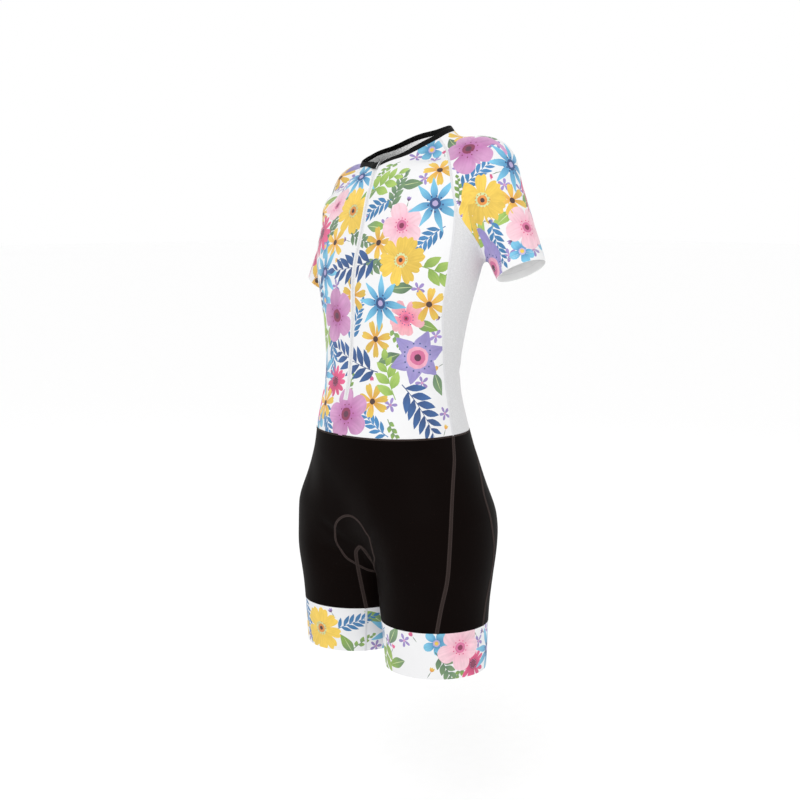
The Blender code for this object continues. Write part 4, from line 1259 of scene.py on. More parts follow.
def bud(size, dice):
    """A small closed flower on a short stalk."""
    root, tip = (("rose", "hot_pink"), ("plum", "violet"), ("orange", "corn_yellow"))[dice.integers(3)]
    shapes = [blade(size * 0.8, RIB_WIDTH, "leaf", -math.pi / 2, dice, "sage", "sage")]
    for lean in (-0.45, 0.45, 0):
        shapes.append(blade(size * 0.55, size * 0.26, "pointed", math.pi / 2 + lean, dice, root, tip))
    return shapes


def motif_shapes(kind, size, dice):
    if kind in PETALS:
        return flower(kind, size, dice)
    if kind in STEMS:
        return stem(kind, size, dice)
    return single_leaf(size, dice) if kind == "leaf" else bud(size, dice)


def marched(anchor, up, flat):
    """Where points of a flat drawing, in metres, lie on the form when its middle is at the anchor."""
    normal = outward(anchor[None])[0]
    up = unit(up - normal * (up @ normal))
    right = np.cross(up, normal)
    reach = norm(flat, axis=1)
    ways = unit(flat[:, :1] * right + flat[:, 1:] * up)
    count = max(2, math.ceil(reach.max() / (MARCH_STEP * MM)))
    places = np.repeat(anchor[None], len(flat), axis=0)
    for _ in range(count):
        moved = settle(places + ways * (reach / count)[:, None], rounds=1)
        normals = outward(moved)
        ways = moved - places
        ways = unit(ways - normals * (ways * normals).sum(axis=1, keepdims=True))
        places = moved
    return places


def plan_print(kind, fine, dice, tube, bare):
    """Chooses places for the motifs of one piece, each where it is least crowded.

    bare lists places, in metres on the form, and how far around them nothing is printed.
    """
    last_row, last_column = fine.shape[0] - 1, fine.shape[1] - 1
    width, height = spans(fine)
    placed = [(np.array(spot), reach, "") for spot, reach in bare]
    chosen = []
    for row in PRINT:
        motif, size = row[:2]
        radius = size / 2 * MM
        aside = 0 if tube else INSET * size * MM / width
        low = min(0.5, INSET * size * MM / height)
        for _ in range(row[PRINT_COLUMNS.index(kind)]):
            u = dice.uniform(aside, 1 - aside, CANDIDATES)
            v = dice.uniform(low, 1 - low, CANDIDATES)
            spots = fine[np.round(v * last_row).astype(int), np.round(u * last_column).astype(int)]
            room = np.full(CANDIDATES, 1.0)
            for spot, reach, other in placed:
                crowding = CROWDING if other else 1
                gap = norm(spots - spot, axis=1) - (reach + radius) * crowding
                room = np.minimum(room, gap - radius if other == motif else gap)
            best = spots[np.argmax(room)]
            placed.append((best, radius, motif))
            chosen.append((motif, size, best, dice.uniform(0, 2 * math.pi)))
    return chosen[::-1]


def enclosed(spots, outline):
    """Which spots lie inside a closed outline: it crosses the line to their right an odd number of times."""
    x, y = spots.T[:, :, None]
    (ax, ay), (bx, by) = outline.T, np.roll(outline, -1, axis=0).T
    rise = np.where(by == ay, 1, by - ay)
    crossed = ((ay > y) != (by > y)) & (x < ax + (y - ay) * (bx - ax) / rise)
    return crossed.sum(axis=1) % 2 == 1


def cubic_terms(flat):
    """The ten terms of a smooth map from one flat place to another."""
    x, y = flat.T
    return np.stack([x**i * y**j for i in range(4) for j in range(4 - i)], axis=1)


def straightened(flat, local, on_piece, stray):
    """Flat places of a motif, with what runs past the piece's edge, or strays, evened out.

    What lies well past the edge only has to leave it in the right direction.
    """
    lean = np.column_stack([local, np.ones(len(local))])
    for _ in range(2):
        even = lean @ lstsq(lean[on_piece], flat[on_piece], rcond=None)[0]
        on_piece &= norm(flat - even, axis=1) < stray
        if on_piece.sum() < LEAST_POINTS:
            break
    return np.where(on_piece[:, None], flat, even)


class Print:
    """The shapes printed on one piece, as outlines in the piece's own flat coordinates."""

    def __init__(self, fine, chosen, up, tube):
        self.width, self.height = spans(fine)
        self.outlines, self.shapes, self.motifs, self.fits = [], [], [], []
        lookup = Lookup(fine)
        for number, (kind, size, anchor, turn) in enumerate(chosen):
            shapes = motif_shapes(kind, size, np.random.default_rng(MOTIF_SEED + number))
            local = np.vstack([shape.outline for shape in shapes])
            c, s = math.cos(turn), math.sin(turn)
            drawn = local @ np.array([[c, s], [-s, c]]) * MM
            u, v, off = lookup.shares(marched(settle(anchor[None])[0], up, drawn))
            on_piece = off < PAST_EDGE * MM
            if on_piece.sum() < LEAST_POINTS:
                continue
            if tube:
                middle = lookup.shares(anchor[None])[0][0]
                u = middle + (u - middle + 0.5) % 1 - 0.5
            flat = np.stack([u * self.width, v * self.height], axis=1)
            flat = straightened(flat, local, on_piece, STRAY * size * MM)
            for shift in ((-1, 0, 1) if tube else (0,)):
                self.add(shapes, local, flat + (shift * self.width, 0), size * MM)

    def add(self, shapes, local, flat, size):
        """Adds a motif that touches the piece, and the smooth map back to its own drawing."""
        low, high = flat.min(axis=0), flat.max(axis=0)
        if high.min() <= 0 or low[0] >= self.width or low[1] >= self.height:
            return
        centre = flat.mean(axis=0)
        terms = cubic_terms((flat - centre) / size)
        self.motifs += [len(self.fits)] * len(shapes)
        self.fits.append((centre, size, lstsq(terms, local, rcond=None)[0]))
        self.outlines += np.split(flat, np.cumsum([len(shape.outline) for shape in shapes])[:-1])
        self.shapes += shapes

    def net(self, slit):
        """Even points over the piece, and the edges round it and its slit, as pairs of their numbers."""
        step = CLOTH_POINTS * MM
        x, y = (np.linspace(0, size, max(4, round(size / step)) + 1) for size in (self.width, self.height))
        if slit:
            left, right, foot = slit
            x = np.unique([*x[(x < left - step / 2) | (x > right + step / 2)], left, right])
            y = np.unique([*y[np.abs(y - foot) > step / 3], foot])
        number = np.arange(len(x) * len(y)).reshape(len(y), len(x))
        walls = [number[0], number[-1], number[:, 0], number[:, -1]]
        if slit:
            left, right = np.searchsorted(x, (left, right))
            foot = np.searchsorted(y, foot)
            walls += [number[foot:, left], number[foot:, right], number[foot, left:right + 1]]
        edges = [pair for wall in walls for pair in zip(wall[:-1].tolist(), wall[1:].tolist())]
        return np.stack(np.meshgrid(x, y), axis=-1).reshape(-1, 2), edges

    def triangles(self, slit):
        """Points and triangles of the piece, and which shape covers each triangle, or -1."""
        spots, edges = self.net(slit)
        verts = [*map(Vector, spots)]
        for outline in self.outlines:
            ring = np.arange(len(outline)) + len(verts)
            edges += zip(ring.tolist(), np.roll(ring, -1).tolist())
            verts += map(Vector, outline)
        places, _, triangles, *_ = delaunay_2d_cdt(verts, edges, [], 0, WELD, False)
        places = np.array([tuple(place) for place in places])
        triangles = np.array(triangles)
        middle = places[triangles].mean(axis=1)
        x, y = middle.T
        inside = (x > 0) & (x < self.width) & (y > 0) & (y < self.height)
        if slit:
            left, right, foot = slit
            inside &= ~((x > left) & (x < right) & (y > foot))
        used, triangles = np.unique(triangles[inside], return_inverse=True)
        return places[used], triangles.reshape(-1, 3), self.topmost(middle[inside])

    def topmost(self, spots):
        """The last shape that is printed over each spot, or -1."""
        top = np.full(len(spots), -1)
        for index, outline in enumerate(self.outlines):
            near = ((spots > outline.min(axis=0)) & (spots < outline.max(axis=0))).all(axis=1)
            near = np.flatnonzero(near)
            top[near[enclosed(spots[near], outline)]] = index
        return top

    def inks(self, corners, owner):
        """The ink at each corner, and where the corner lies in its petal: across, along, seed."""
        inks = dye_inks()
        colours = np.tile(inks["ground"], (len(owner), 1))
        strokes = np.zeros((len(owner), 3))
        for index in np.unique(owner[owner >= 0]):
            shape = self.shapes[index]
            centre, size, fit = self.fits[self.motifs[index]]
            mine = owner == index
            gap = cubic_terms((corners[mine] - centre) / size) @ fit - shape.start
            way = shape.end - shape.start
            length = norm(way)
            along = np.clip(gap @ way / length**2, 0, 1)
            across = (gap[:, 0] * way[1] - gap[:, 1] * way[0]) / length / shape.half_width
            mix = eased(along * 1.25)[:, None]
            shade = 1 + SHADE_SPREAD * math.sin(12.9 * index)
            colours[mine] = (inks[shape.first] * (1 - mix) + inks[shape.last] * mix) * shade
            seed = np.full(len(along), index % 97)
            strokes[mine] = np.stack([np.clip(across, -1, 1), along, seed], axis=1)
        return np.clip(colours, 0, 1), strokes


def printed_cloth(kind, side, grid, up=(0, 0, 1), tube=False, slit_columns=None):
    """A cloth piece with its print cut into its faces."""
    fine = wrapped(grid, FINE) if tube else finer(grid, FINE)
    dice = np.random.default_rng(SEEDS[kind, side])
    chosen = plan_print(kind, fine, dice, tube, BARE.get((kind, side), ()))
    pattern = Print(fine, chosen, np.array(up, float), tube)
    size = np.array([pattern.width, pattern.height])
    slit = None
    if slit_columns:
        rows, columns = grid.shape[:2]
        steps = size / (columns - 1, rows - 1)
        slit = tuple(np.array(slit_columns) * steps[[0, 0, 1]])
    flat, triangles, top = pattern.triangles(slit)
    points = looked_up(fine, *(flat / size).T)
    triangles = facing_out(points, triangles)
    corners = flat[triangles].reshape(-1, 2)
    colours, strokes = pattern.inks(corners, np.repeat(top, 3))
    if tube:
        points, triangles = welded(points, triangles)
        keep = apart(triangles)
        triangles, kept = triangles[keep], np.repeat(keep, 3)
        colours, strokes, corners = colours[kept], strokes[kept], corners[kept]
    piece = cloth_piece(kind, side, points, triangles, (finish("print"), finish("inside")))
    paint(piece.data, colours, strokes, corners)


def paint(mesh, colours, strokes, flats):
    """Stores the print at the corners of the outer faces, which come first."""
    inks = np.column_stack([colours, np.ones(len(colours))])
    mesh.attributes.new("ink", "FLOAT_COLOR", "CORNER")
    mesh.attributes.new("stroke", "FLOAT_VECTOR", "CORNER")
    mesh.uv_layers.new(name="lay")
    for name, values, rest in (("ink", inks, 1), ("stroke", strokes, 0), ("lay", flats, 0)):
        full = np.full((len(mesh.loops), values.shape[1]), rest, np.float32)
        full[:len(values)] = values
        key = "color" if name == "ink" else "vector"
        mesh.attributes[name].data.foreach_set(key, full.ravel())


# -------- materials

# The dyes of the print, as they look on pure white, and how much of the cloth's light they take
DYE_COVER = 0.96
DYES = {
    "ground": "#FFFFFF",
    "hot_pink": "#F25A90",
    "crimson": "#C9386C",
    "berry": "#8A2450",
    "plum": "#5A1E42",
    "rose": "#E0709F",
    "shell_pink": "#FBD0DA",
    "blush": "#F7AFC6",
    "salmon": "#F2B0B9",
    "corn_yellow": "#F3CB4D",
    "sun_yellow": "#FAD24C",
    "amber": "#EFA83E",
    "orange": "#EE9338",
    "bark": "#43241A",
    "navy": "#1E4A86",
    "mid_navy": "#285F9E",
    "mid_blue": "#3E86BE",
    "azure": "#2F80B8",
    "sky_blue": "#79C9E9",
    "pale_lilac": "#C4B4E2",
    "lilac": "#B6A9DC",
    "periwinkle": "#978CC8",
    "violet": "#A58FD0",
    "magenta": "#B657A2",
    "orchid": "#D69AC8",
    "leaf_green": "#8DB44A",
    "lime": "#AACB60",
    "pale_green": "#D3E4A4",
    "sage": "#5E8060",
    "moss": "#76996B",
}


def dye_inks():
    """Every dye as linear colour on the cloth's own white, which shows through a little."""
    ground = np.array(bpy.context.scene.suit_colours.ground)
    takes = {name: 1 - np.array(linear(code)) for name, code in DYES.items()}
    return {name: ground * (1 - DYE_COVER * share) for name, share in takes.items()}


def add_node(tree, kind, inputs=(), **settings):
    """Adds a node with its settings. An input is a value, or another node's output to link to."""
    node = tree.nodes.new(kind)
    for name, value in settings.items():
        setattr(node, name, value)
    for name, value in dict(inputs).items():
        if isinstance(value, bpy.types.NodeSocket):
            tree.links.new(value, node.inputs[name])
        else:
            node.inputs[name].default_value = value
    return node


def start_material(name, roughness=0.6, metallic=0.0, sheen=0.0, specular=0.3):
    """A new material with its shader's constant values set on the shader itself."""
    material = bpy.data.materials.new(name)
    material.use_nodes = True
    tree = material.node_tree
    shader = tree.nodes["Principled BSDF"]
    shader.inputs["Roughness"].default_value = roughness
    shader.inputs["Specular IOR Level"].default_value = specular
    shader.inputs["Metallic"].default_value = metallic
    shader.inputs["Sheen Weight"].default_value = sheen
    shader.inputs["Sheen Roughness"].default_value = 0.45
    return material, tree, shader


def object_place(tree):
    return add_node(tree, "ShaderNodeTexCoord").outputs["Object"]


def cloudy(tree, place, breadth, detail):
    """Soft noise whose clouds are a breadth across, in millimetres."""
    inputs = {"Vector": place, "Scale": 1 / (breadth * MM), "Detail": detail}
    return add_node(tree, "ShaderNodeTexNoise", inputs).outputs["Fac"]


def spotted(tree, place, pitch):
    """How far each place is from the nearest of many spots, a pitch in metres apart."""
    inputs = {"Vector": place, "Scale": 1 / pitch}
    return add_node(tree, "ShaderNodeTexVoronoi", inputs, feature="F1").outputs["Distance"]


def raise_surface(tree, shader, height, strength, depth):
    """Bump from a height between 0 and 1, up to a depth in millimetres."""
    bump = add_node(tree, "ShaderNodeBump", {"Height": height, "Strength": strength, "Distance": depth * MM})
    tree.links.new(bump.outputs["Normal"], shader.inputs["Normal"])


def tinted(tree, colour, factor, dark, light):
    """The colour times a value between dark and light, as the factor goes from 0 to 1."""
    share = add_node(tree, "ShaderNodeMapRange", {"Value": factor, "To Min": dark, "To Max": light})
    inputs = {0: colour, "Scale": share.outputs["Result"]}
    return add_node(tree, "ShaderNodeVectorMath", inputs, operation="SCALE").outputs["Vector"]


def dye(tree, shader, colour, factor, dark, light):
    """Colours the surface, darker and lighter as the factor goes from 0 to 1. Where the factor also drives a
    bump, the darker parts are painted shade in its dips and the lighter parts painted highlight on its
    rises; elsewhere they are an uneven tone.
    """
    tree.links.new(tinted(tree, tuple(colour), factor, dark, light), shader.inputs["Base Color"])


def add_knit(tree, shader, pitch, strength, place):
    """Fine knitted loops as bump: spots a pitch in metres apart, mixed with a broader soft grain."""
    grain = cloudy(tree, place, pitch / MM / 0.35, 2.0)
    mixed = add_node(tree, "ShaderNodeMath", {0: spotted(tree, place, pitch), 1: grain}, operation="ADD")
    raise_surface(tree, shader, mixed.outputs[0], strength, 0.3)


def printed_lycra():
    """Elastane and polyamide jersey, dye-sublimated: matt, softly sheened, the dye a little uneven."""
    material, tree, shader = start_material("printed_lycra_jersey", roughness=0.62, sheen=0.12)
    ink = add_node(tree, "ShaderNodeAttribute", attribute_name="ink").outputs["Color"]
    stroke = add_node(tree, "ShaderNodeAttribute", attribute_name="stroke").outputs["Vector"]
    place = object_place(tree)
    # brush marks run along each petal: many across it, few along it, and others in the next petal
    lines = add_node(tree, "ShaderNodeVectorMath", {0: stroke, 1: (2.6, 0.9, 7.3)}, operation="MULTIPLY")
    brush = add_node(
        tree, "ShaderNodeTexNoise", {"Vector": lines.outputs["Vector"], "Scale": 1.6, "Detail": 3.0},
    )
    streaked = tinted(tree, ink, brush.outputs["Fac"], 0.80, 1.22)
    # washes of more and less dye, 12 mm across
    washed = tinted(tree, streaked, cloudy(tree, place, 12, 2.0), 0.88, 1.12)
    # only the petals are brushed: on the ground the stroke is nought
    along = add_node(tree, "ShaderNodeSeparateXYZ", {"Vector": stroke}).outputs["Y"]
    on_petal = add_node(
        tree, "ShaderNodeMath", {0: along, 1: 400.0}, operation="MULTIPLY", use_clamp=True,
    )
    inputs = {"Factor": on_petal.outputs[0], "A": ink, "B": washed}
    colour = add_node(tree, "ShaderNodeMix", inputs, data_type="RGBA").outputs["Result"]
    tree.links.new(colour, shader.inputs["Base Color"])
    add_knit(tree, shader, bpy.context.scene.suit_sizes.knit_pitch, 0.22, place)
    return material


def white_lycra(name, colour, holes):
    """Undyed knitted lycra, matt. With holes it is the eyelet mesh of the side panels."""
    sizes = bpy.context.scene.suit_sizes
    material, tree, shader = start_material(name, roughness=0.7, sheen=0.10)
    place = object_place(tree)
    if holes:
        # rows of small eyelets, each a dark dot between the loops: painted shade where the hole would be, in
        # the dip of the bump
        dye(tree, shader, colour, spotted(tree, place, sizes.mesh_pitch), 0.90, 1.05)
        add_knit(tree, shader, sizes.mesh_pitch, 0.35, place)
    else:
        dye(tree, shader, colour, cloudy(tree, place, 25, 2.0), 0.97, 1.03)
        add_knit(tree, shader, sizes.knit_pitch, 0.2, place)
    return material


def black_lycra():
    """Heavier warp-knit lycra, piece-dyed black: a dull silky sheen where it turns away."""
    scene = bpy.context.scene
    material, tree, shader = start_material("black_warp_knit_lycra", roughness=0.6, specular=0.035)
    place = object_place(tree)
    # dye takes a little unevenly over a hand's breadth
    dye(tree, shader, scene.suit_colours.shorts, cloudy(tree, place, 60, 3.0), 0.75, 1.35)
    add_knit(tree, shader, scene.suit_sizes.knit_pitch, 0.25, place)
    return material


def ribs_across(tree, pitch, direction, **settings):
    """Ribs a pitch apart, laid over the flat length and width of a seam or tape."""
    lay = add_node(tree, "ShaderNodeUVMap", uv_map="lay").outputs["UV"]
    # a wave texture's bands lie pi / 10 apart at a scale of 1
    inputs = {"Vector": lay, "Scale": math.pi / (10 * pitch * MM), **settings}
    ribs = add_node(tree, "ShaderNodeTexWave", inputs, wave_type="BANDS", bands_direction=direction)
    return ribs.outputs["Fac"]


def flatlock_seam(name, colour, specular=0.2):
    """Looper threads laid close across a flatlock seam: fine ribs side by side, 1.3 mm apart."""
    material, tree, shader = start_material(name, roughness=0.7, specular=specular)
    ribs = ribs_across(tree, 1.3, "X", Distortion=1.2, Detail=1.0, **{"Detail Scale": 2.0})
    # darker in the grooves between the ribs and a little lighter on them: painted shade and painted
    # highlight that follow the ribs' bump
    dye(tree, shader, colour, ribs, 0.86, 1.08)
    raise_surface(tree, shader, ribs, 0.6, 0.25)
    return material


def woven_tape(name, colour, pitch, roughness, specular=0.3):
    """Narrow woven or ribbed tape: ribs across its length."""
    material, tree, shader = start_material(name, roughness=roughness, specular=specular)
    ribs = ribs_across(tree, pitch, "DIAGONAL", Distortion=0.4)
    # darker in the grooves between the ribs and a little lighter on them: painted shade and painted
    # highlight that follow the ribs' bump
    dye(tree, shader, colour, ribs, 0.85, 1.1)
    raise_surface(tree, shader, ribs, 0.45, 0.2)
    return material


def grained(name, colour, grain, dark, light, bump=0.0, **surface):
    """A surface that varies softly over a grain in millimetres, with orange peel where it has bump. With
    bump, the colour follows the peel: painted shade in its dips and painted highlight on its rises.
    """
    material, tree, shader = start_material(name, **surface)
    cloud = cloudy(tree, object_place(tree), grain, 2.0)
    dye(tree, shader, colour, cloud, dark, light)
    if bump:
        raise_surface(tree, shader, cloud, bump, 0.05)
    return material


def spun_thread(name, colour):
    """Textured polyester sewing thread: soft, with a twist too fine to see, so only its fuzz shows."""
    return grained(name, colour, 0.8, 0.85, 1.12, roughness=0.75, specular=0.15)


def nylon_coil(colour):
    """Extruded nylon monofilament, wound to a coil: smooth, slightly glossy and milky."""
    return grained("extruded_nylon_coil", colour, 3, 0.93, 1.05, roughness=0.36)


def painted_zinc():
    """Die-cast zinc slider under dark enamel: smooth, with slight orange peel, lighter on its rises and
    darker in its dips as painted highlight and painted shade.
    """
    dark = linear("#3A3B3E")
    # the colour follows the orange peel: painted highlight on its rises, painted shade in its dips
    return grained("enamelled_die_cast_zinc", dark, 0.6, 0.8, 1.25, bump=0.2, roughness=0.34, metallic=0.5)


def matt_card():
    """Uncoated white card for the floor: flat and matt, its fibres barely seen."""
    return grained("uncoated_white_card", linear("#FEFEFE"), 25, 0.985, 1.01, roughness=0.9)


@functools.lru_cache(maxsize=None)
def finish(name):
    """Each finish of the suit, made once."""
    colours = bpy.context.scene.suit_colours
    makers = {
        "print": printed_lycra,
        "inside": lambda: white_lycra("white_lycra_inside", linear("#FAFAFA"), False),
        "mesh": lambda: white_lycra("white_eyelet_lycra", colours.side_panel, True),
        "black": black_lycra,
        "pale_seam": lambda: flatlock_seam("pale_flatlock_polyester", colours.pale_seam),
        "dark_seam": lambda: flatlock_seam("dark_flatlock_polyester", colours.dark_seam, 0.08),
        "pale_thread": lambda: spun_thread("pale_polyester_thread", colours.pale_seam),
        "dark_thread": lambda: spun_thread("dark_polyester_thread", linear("#4A3F3C")),
        "binding": lambda: woven_tape("black_ribbed_elastic_tape", colours.binding, 1.4, 0.62, 0.08),
        "tape": lambda: woven_tape("pale_woven_zip_tape", colours.zip_tape, 1.2, 0.7),
        "coil": lambda: nylon_coil(colours.zip_tape),
        "slider": painted_zinc,
        "card": matt_card,
    }
    return makers[name]()


# -------- seams, binding and zip


class Bundle:
    """Small meshes gathered into one piece, each with flat coordinates at its corners."""

    def __init__(self):
        self.verts, self.faces, self.flats = [], [], []
        self.count = 0

    def add(self, verts, faces, flats=None):
        """flats holds one place for each vertex, along and across, in metres."""
        flats = np.zeros((len(verts), 2)) if flats is None else flats
        for face in faces:
            self.faces.append([self.count + int(index) for index in face])
            self.flats.append(flats[np.asarray(face, int)])
        self.verts.append(verts)
        self.count += len(verts)

    def add_tube(self, rings, flats=None, closed=False):
        """Adds a tube through rings of points, capped unless it closes on itself."""
        verts = rings.reshape(-1, 3)
        self.add(verts, outward_faces(verts, tube_faces(*rings.shape[:2], closed)), flats)

    def add_rods(self, rods, rings):
        """Adds many small tubes alike, given as places by tube and point, with so many rings each."""
        faces = outward_faces(rods[0], tube_faces(rings, rods.shape[1] // rings))
        for verts in rods:
            self.add(verts, faces)

    def piece(self, name, material, sharp=50.0, replaces=None):
        piece = new_piece(name, np.vstack(self.verts), self.faces, materials=(material,))
        piece.data.set_sharp_from_angle(angle=math.radians(sharp))
        lay = piece.data.uv_layers.new(name="lay")
        lay.uv.foreach_set("vector", np.vstack(self.flats).astype(np.float32).ravel())
        if replaces:
            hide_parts(replaces)
        return piece


def tube_faces(count, sides, closed=False):
    """The faces of a tube of rings, with its ends capped unless it closes on itself."""
    faces = []
    for i in range(count if closed else count - 1):
        j = (i + 1) % count
        for k in range(sides):
            n = (k + 1) % sides
            faces.append((i * sides + k, i * sides + n, j * sides + n, j * sides + k))
    if not closed:
        faces.append(tuple(range(sides))[::-1])
        faces.append(tuple((count - 1) * sides + k for k in range(sides)))
    return faces


def outward_faces(verts, faces):
    """The faces of a closed mesh, turned over if its volume comes out negative."""
    middle = verts.mean(axis=0)
    volume = 0.0
    for face in faces[:: max(1, len(faces) // 4000)]:
        a, b, c = (verts[face[k]] - middle for k in range(3))
        volume += np.dot(a, np.cross(b, c))
    return faces if volume > 0 else [face[::-1] for face in faces]


def rounded(middles, along, side, out, profile, sides):
    """Points of a small rounded rod at each middle. profile gives its rings: shares along and across."""
    turns = np.arange(sides) * 2 * math.pi / sides
    points = [
        middles + along * share + (side * math.cos(turn) + out * math.sin(turn)) * wide
        for share, wide in profile
        for turn in turns
    ]
    return np.stack(points, axis=1)


def flat_net(reach, aside):
    """Flat coordinates of a net of points: reaches along it, by places aside."""
    return np.stack([np.repeat(reach, len(aside)), np.tile(aside, len(reach))], axis=1)


def fine_line(line, step):
    """A smooth line on the form through a seam's points, with even steps of about step."""
    smooth = settle(smooth_line(line, FINE), rounds=3)
    return settle(evenly(smooth, max(2, round(lengths_along(smooth)[-1] / step))), rounds=2)


def line_sides(line):
    """Which way is along a line on the form, and which way is aside on the cloth."""
    along = unit(np.gradient(line, axis=0))
    return along, unit(np.cross(along, outward(line)))


def swept(bundle, line, section, closed=False):
    """Sweeps an outline, given in millimetres aside and off the cloth, along a line on the form."""
    along, aside = line_sides(line)
    if closed:
        along[0] = along[-1] = unit(line[1] - line[-2])
        aside[0] = aside[-1] = unit(np.cross(along[0], outward(line[:1])[0]))
    rings = [
        laid(settle(line + aside * across * MM, rounds=2), lift * MM) for across, lift in section
    ]
    count = len(line) - closed
    flats = flat_net(lengths_along(line)[:count], [across * MM for across, _ in section])
    bundle.add_tube(np.stack(rings, axis=1)[:count], flats, closed)


SEAM_HEIGHT = 0.45
# Half of a flatlock seam's outline. Columns: share of its half width, height in millimetres
SEAM_OUTLINE = ((1, -0.35), (1, 0.06), (0.72, 0.85 * SEAM_HEIGHT), (0.3, SEAM_HEIGHT))


def flatlock_section(width):
    """The outline of a flatlock seam: a soft flat ridge, in millimetres."""
    half = [(share * width / 2, height) for share, height in SEAM_OUTLINE]
    return [(-aside, height) for aside, height in half] + half[::-1]


STITCH_SIDES = 5
STITCH_FILL = 0.88
# Columns: place along the stitch from its middle, and how wide it is there, as shares
STITCH_RINGS = ((-0.5, 0.45), (0.0, 1.0), (0.5, 0.45))


def stitched(bundle, line, aside_by, pitch, thickness, lift=0.0):
    """A row of stitches beside a line: short rounded threads, half sunk in the cloth."""
    count = max(1, round(lengths_along(line)[-1] / pitch))
    centres = evenly(line, 2 * count)
    aside = line_sides(centres)[1]
    spots = settle(centres + aside * aside_by, rounds=2)
    places = laid(spots, lift)
    run = unit(places[2::2] - places[:-2:2])
    side = unit(np.cross(run, outward(spots[1::2])))
    half = thickness / 2
    along, out = run * pitch * STITCH_FILL, np.cross(side, run) * half
    rods = rounded(places[1::2], along, side * half, out, STITCH_RINGS, STITCH_SIDES)
    bundle.add_rods(rods, len(STITCH_RINGS))


def sew(lines, ridge, thread, width, pitch, rows=(-0.3, 0.3), thickness=0.5, mirror=True):
    """Flatlock ridges along the lines, and two rows of needle thread on each."""
    for line in lines:
        fine = fine_line(line, 3.0 * MM)
        for one in (fine, flipped(fine)) if mirror else (fine,):
            swept(ridge, one, flatlock_section(width / MM))
            for row in rows:
                stitched(thread, one, row * width, pitch, thickness * MM, SEAM_HEIGHT * MM)


def binding_section():
    """The folded binding in cross-section, as heights over the neck edge and lifts, in millimetres."""
    top = BINDING_HEIGHT / MM
    face, back = BINDING_PROUD / MM, (BINDING_PROUD - BINDING_WALL) / MM
    radius = (face - back) / 2
    turns = np.linspace(0, math.pi, 7)
    fold = [(top - radius + radius * math.sin(t), (face + back) / 2 + radius * math.cos(t)) for t in turns]
    outside = [(0.0, face - 0.35), (0.5, face), (2.2, face + 0.05), (4.6, face + 0.12)]
    return [*outside, *fold, (3.0, back), (0.0, back + 0.2)]


def neck_binding():
    """The black tape folded over the neck edge."""
    fine = finer(binding_grid(upper_seams()), FINE)
    section = binding_section()
    rings = []
    for height, lift in section:
        share = height * MM / BINDING_HEIGHT * (fine.shape[0] - 1)
        low = min(int(share), fine.shape[0] - 2)
        row = fine[low] + (fine[low + 1] - fine[low]) * (share - low)
        rings.append(laid(row, lift * MM))
    bundle = Bundle()
    flats = flat_net(lengths_along(fine[0]), [height * MM for height, _ in section])
    bundle.add_tube(np.stack(rings, axis=1), flats)
    bundle.piece("neck_binding_tape", finish("binding"), replaces="neck_binding")


TAPE_SHARES = np.array([0.0, 0.33, 0.66, 1.0])


def zip_tapes():
    """Two woven tapes under the edges of the slit."""
    for name, grid in both_hands(tape_grid(upper_seams())):
        inner, outer = grid[:, 0], grid[:, 1]
        lines = [settle(smooth_line(inner * (1 - s) + outer * s, 4), (0, 1, 0)) for s in TAPE_SHARES]
        fine = np.stack(lines, axis=1)
        points = fine.reshape(-1, 3)
        quads = facing_out(points, grid_faces(*fine.shape[:2]))
        verts, _, faces, _ = shell(points, quads, TAPE_WALL, -TAPE_SUNK)
        flat = flat_net(lengths_along(fine[:, 0]), TAPE_SHARES * ZIP_HALF_WIDTH)
        rim = np.zeros((len(verts) - 2 * len(points), 2))
        bundle = Bundle()
        bundle.add(verts, faces, np.vstack([flat, flat, rim]))
        bundle.piece(f"zip_tape_{name}_woven", finish("tape"), replaces=f"zip_tape_{name}")


TOOTH_PITCH = 1.6 * MM
TOOTH_LENGTH = 2.3 * MM
TOOTH_WIDTH = 0.85 * MM
TOOTH_HEIGHT = 0.75 * MM
TOOTH_OFFSET = 0.42
TOOTH_SIDES = 6
TOOTH_RINGS = ((-1.0, 0.35), (-0.8, 0.85), (0.2, 1.0), (0.85, 0.9), (1.0, 0.4))
COIL_CLEAR = 2 * MM
COIL_PROUD = 0.1 * MM
COIL_SAMPLES = 400


def zip_teeth():
    """The closed coil: rounded loops from the left and right in turn along the middle of the zip."""
    grid = tape_grid(upper_seams())
    line = evenly(settle(smooth_line(grid[:, 0], FINE), (0, 1, 0)), COIL_SAMPLES)
    reach = lengths_along(line)
    spots = np.arange(COIL_CLEAR, reach[-1] - SLIDER_LENGTH - COIL_CLEAR, TOOTH_PITCH / 2)
    centres = settle(read_line(spots, reach, line), (0, 1, 0))
    along, aside = line_sides(centres)
    out = outward(centres)
    hands = np.where(np.arange(len(centres)) % 2, 1, -1)[:, None]
    middles = centres + aside * hands * TOOTH_LENGTH * TOOTH_OFFSET + out * (COIL_PROUD - TAPE_SUNK)
    sizes = (aside * TOOTH_LENGTH / 2, along * TOOTH_WIDTH / 2, out * TOOTH_HEIGHT / 2)
    rods = rounded(middles, *sizes, TOOTH_RINGS, TOOTH_SIDES)
    bundle = Bundle()
    bundle.add_rods((hang(rods.reshape(-1, 3)) - ORIGIN).reshape(rods.shape), len(TOOTH_RINGS))
    bundle.piece("zip_coil", finish("coil"), sharp=70)


PIPING_RADIUS = 0.55 * MM
PIPING_SIDES = 8


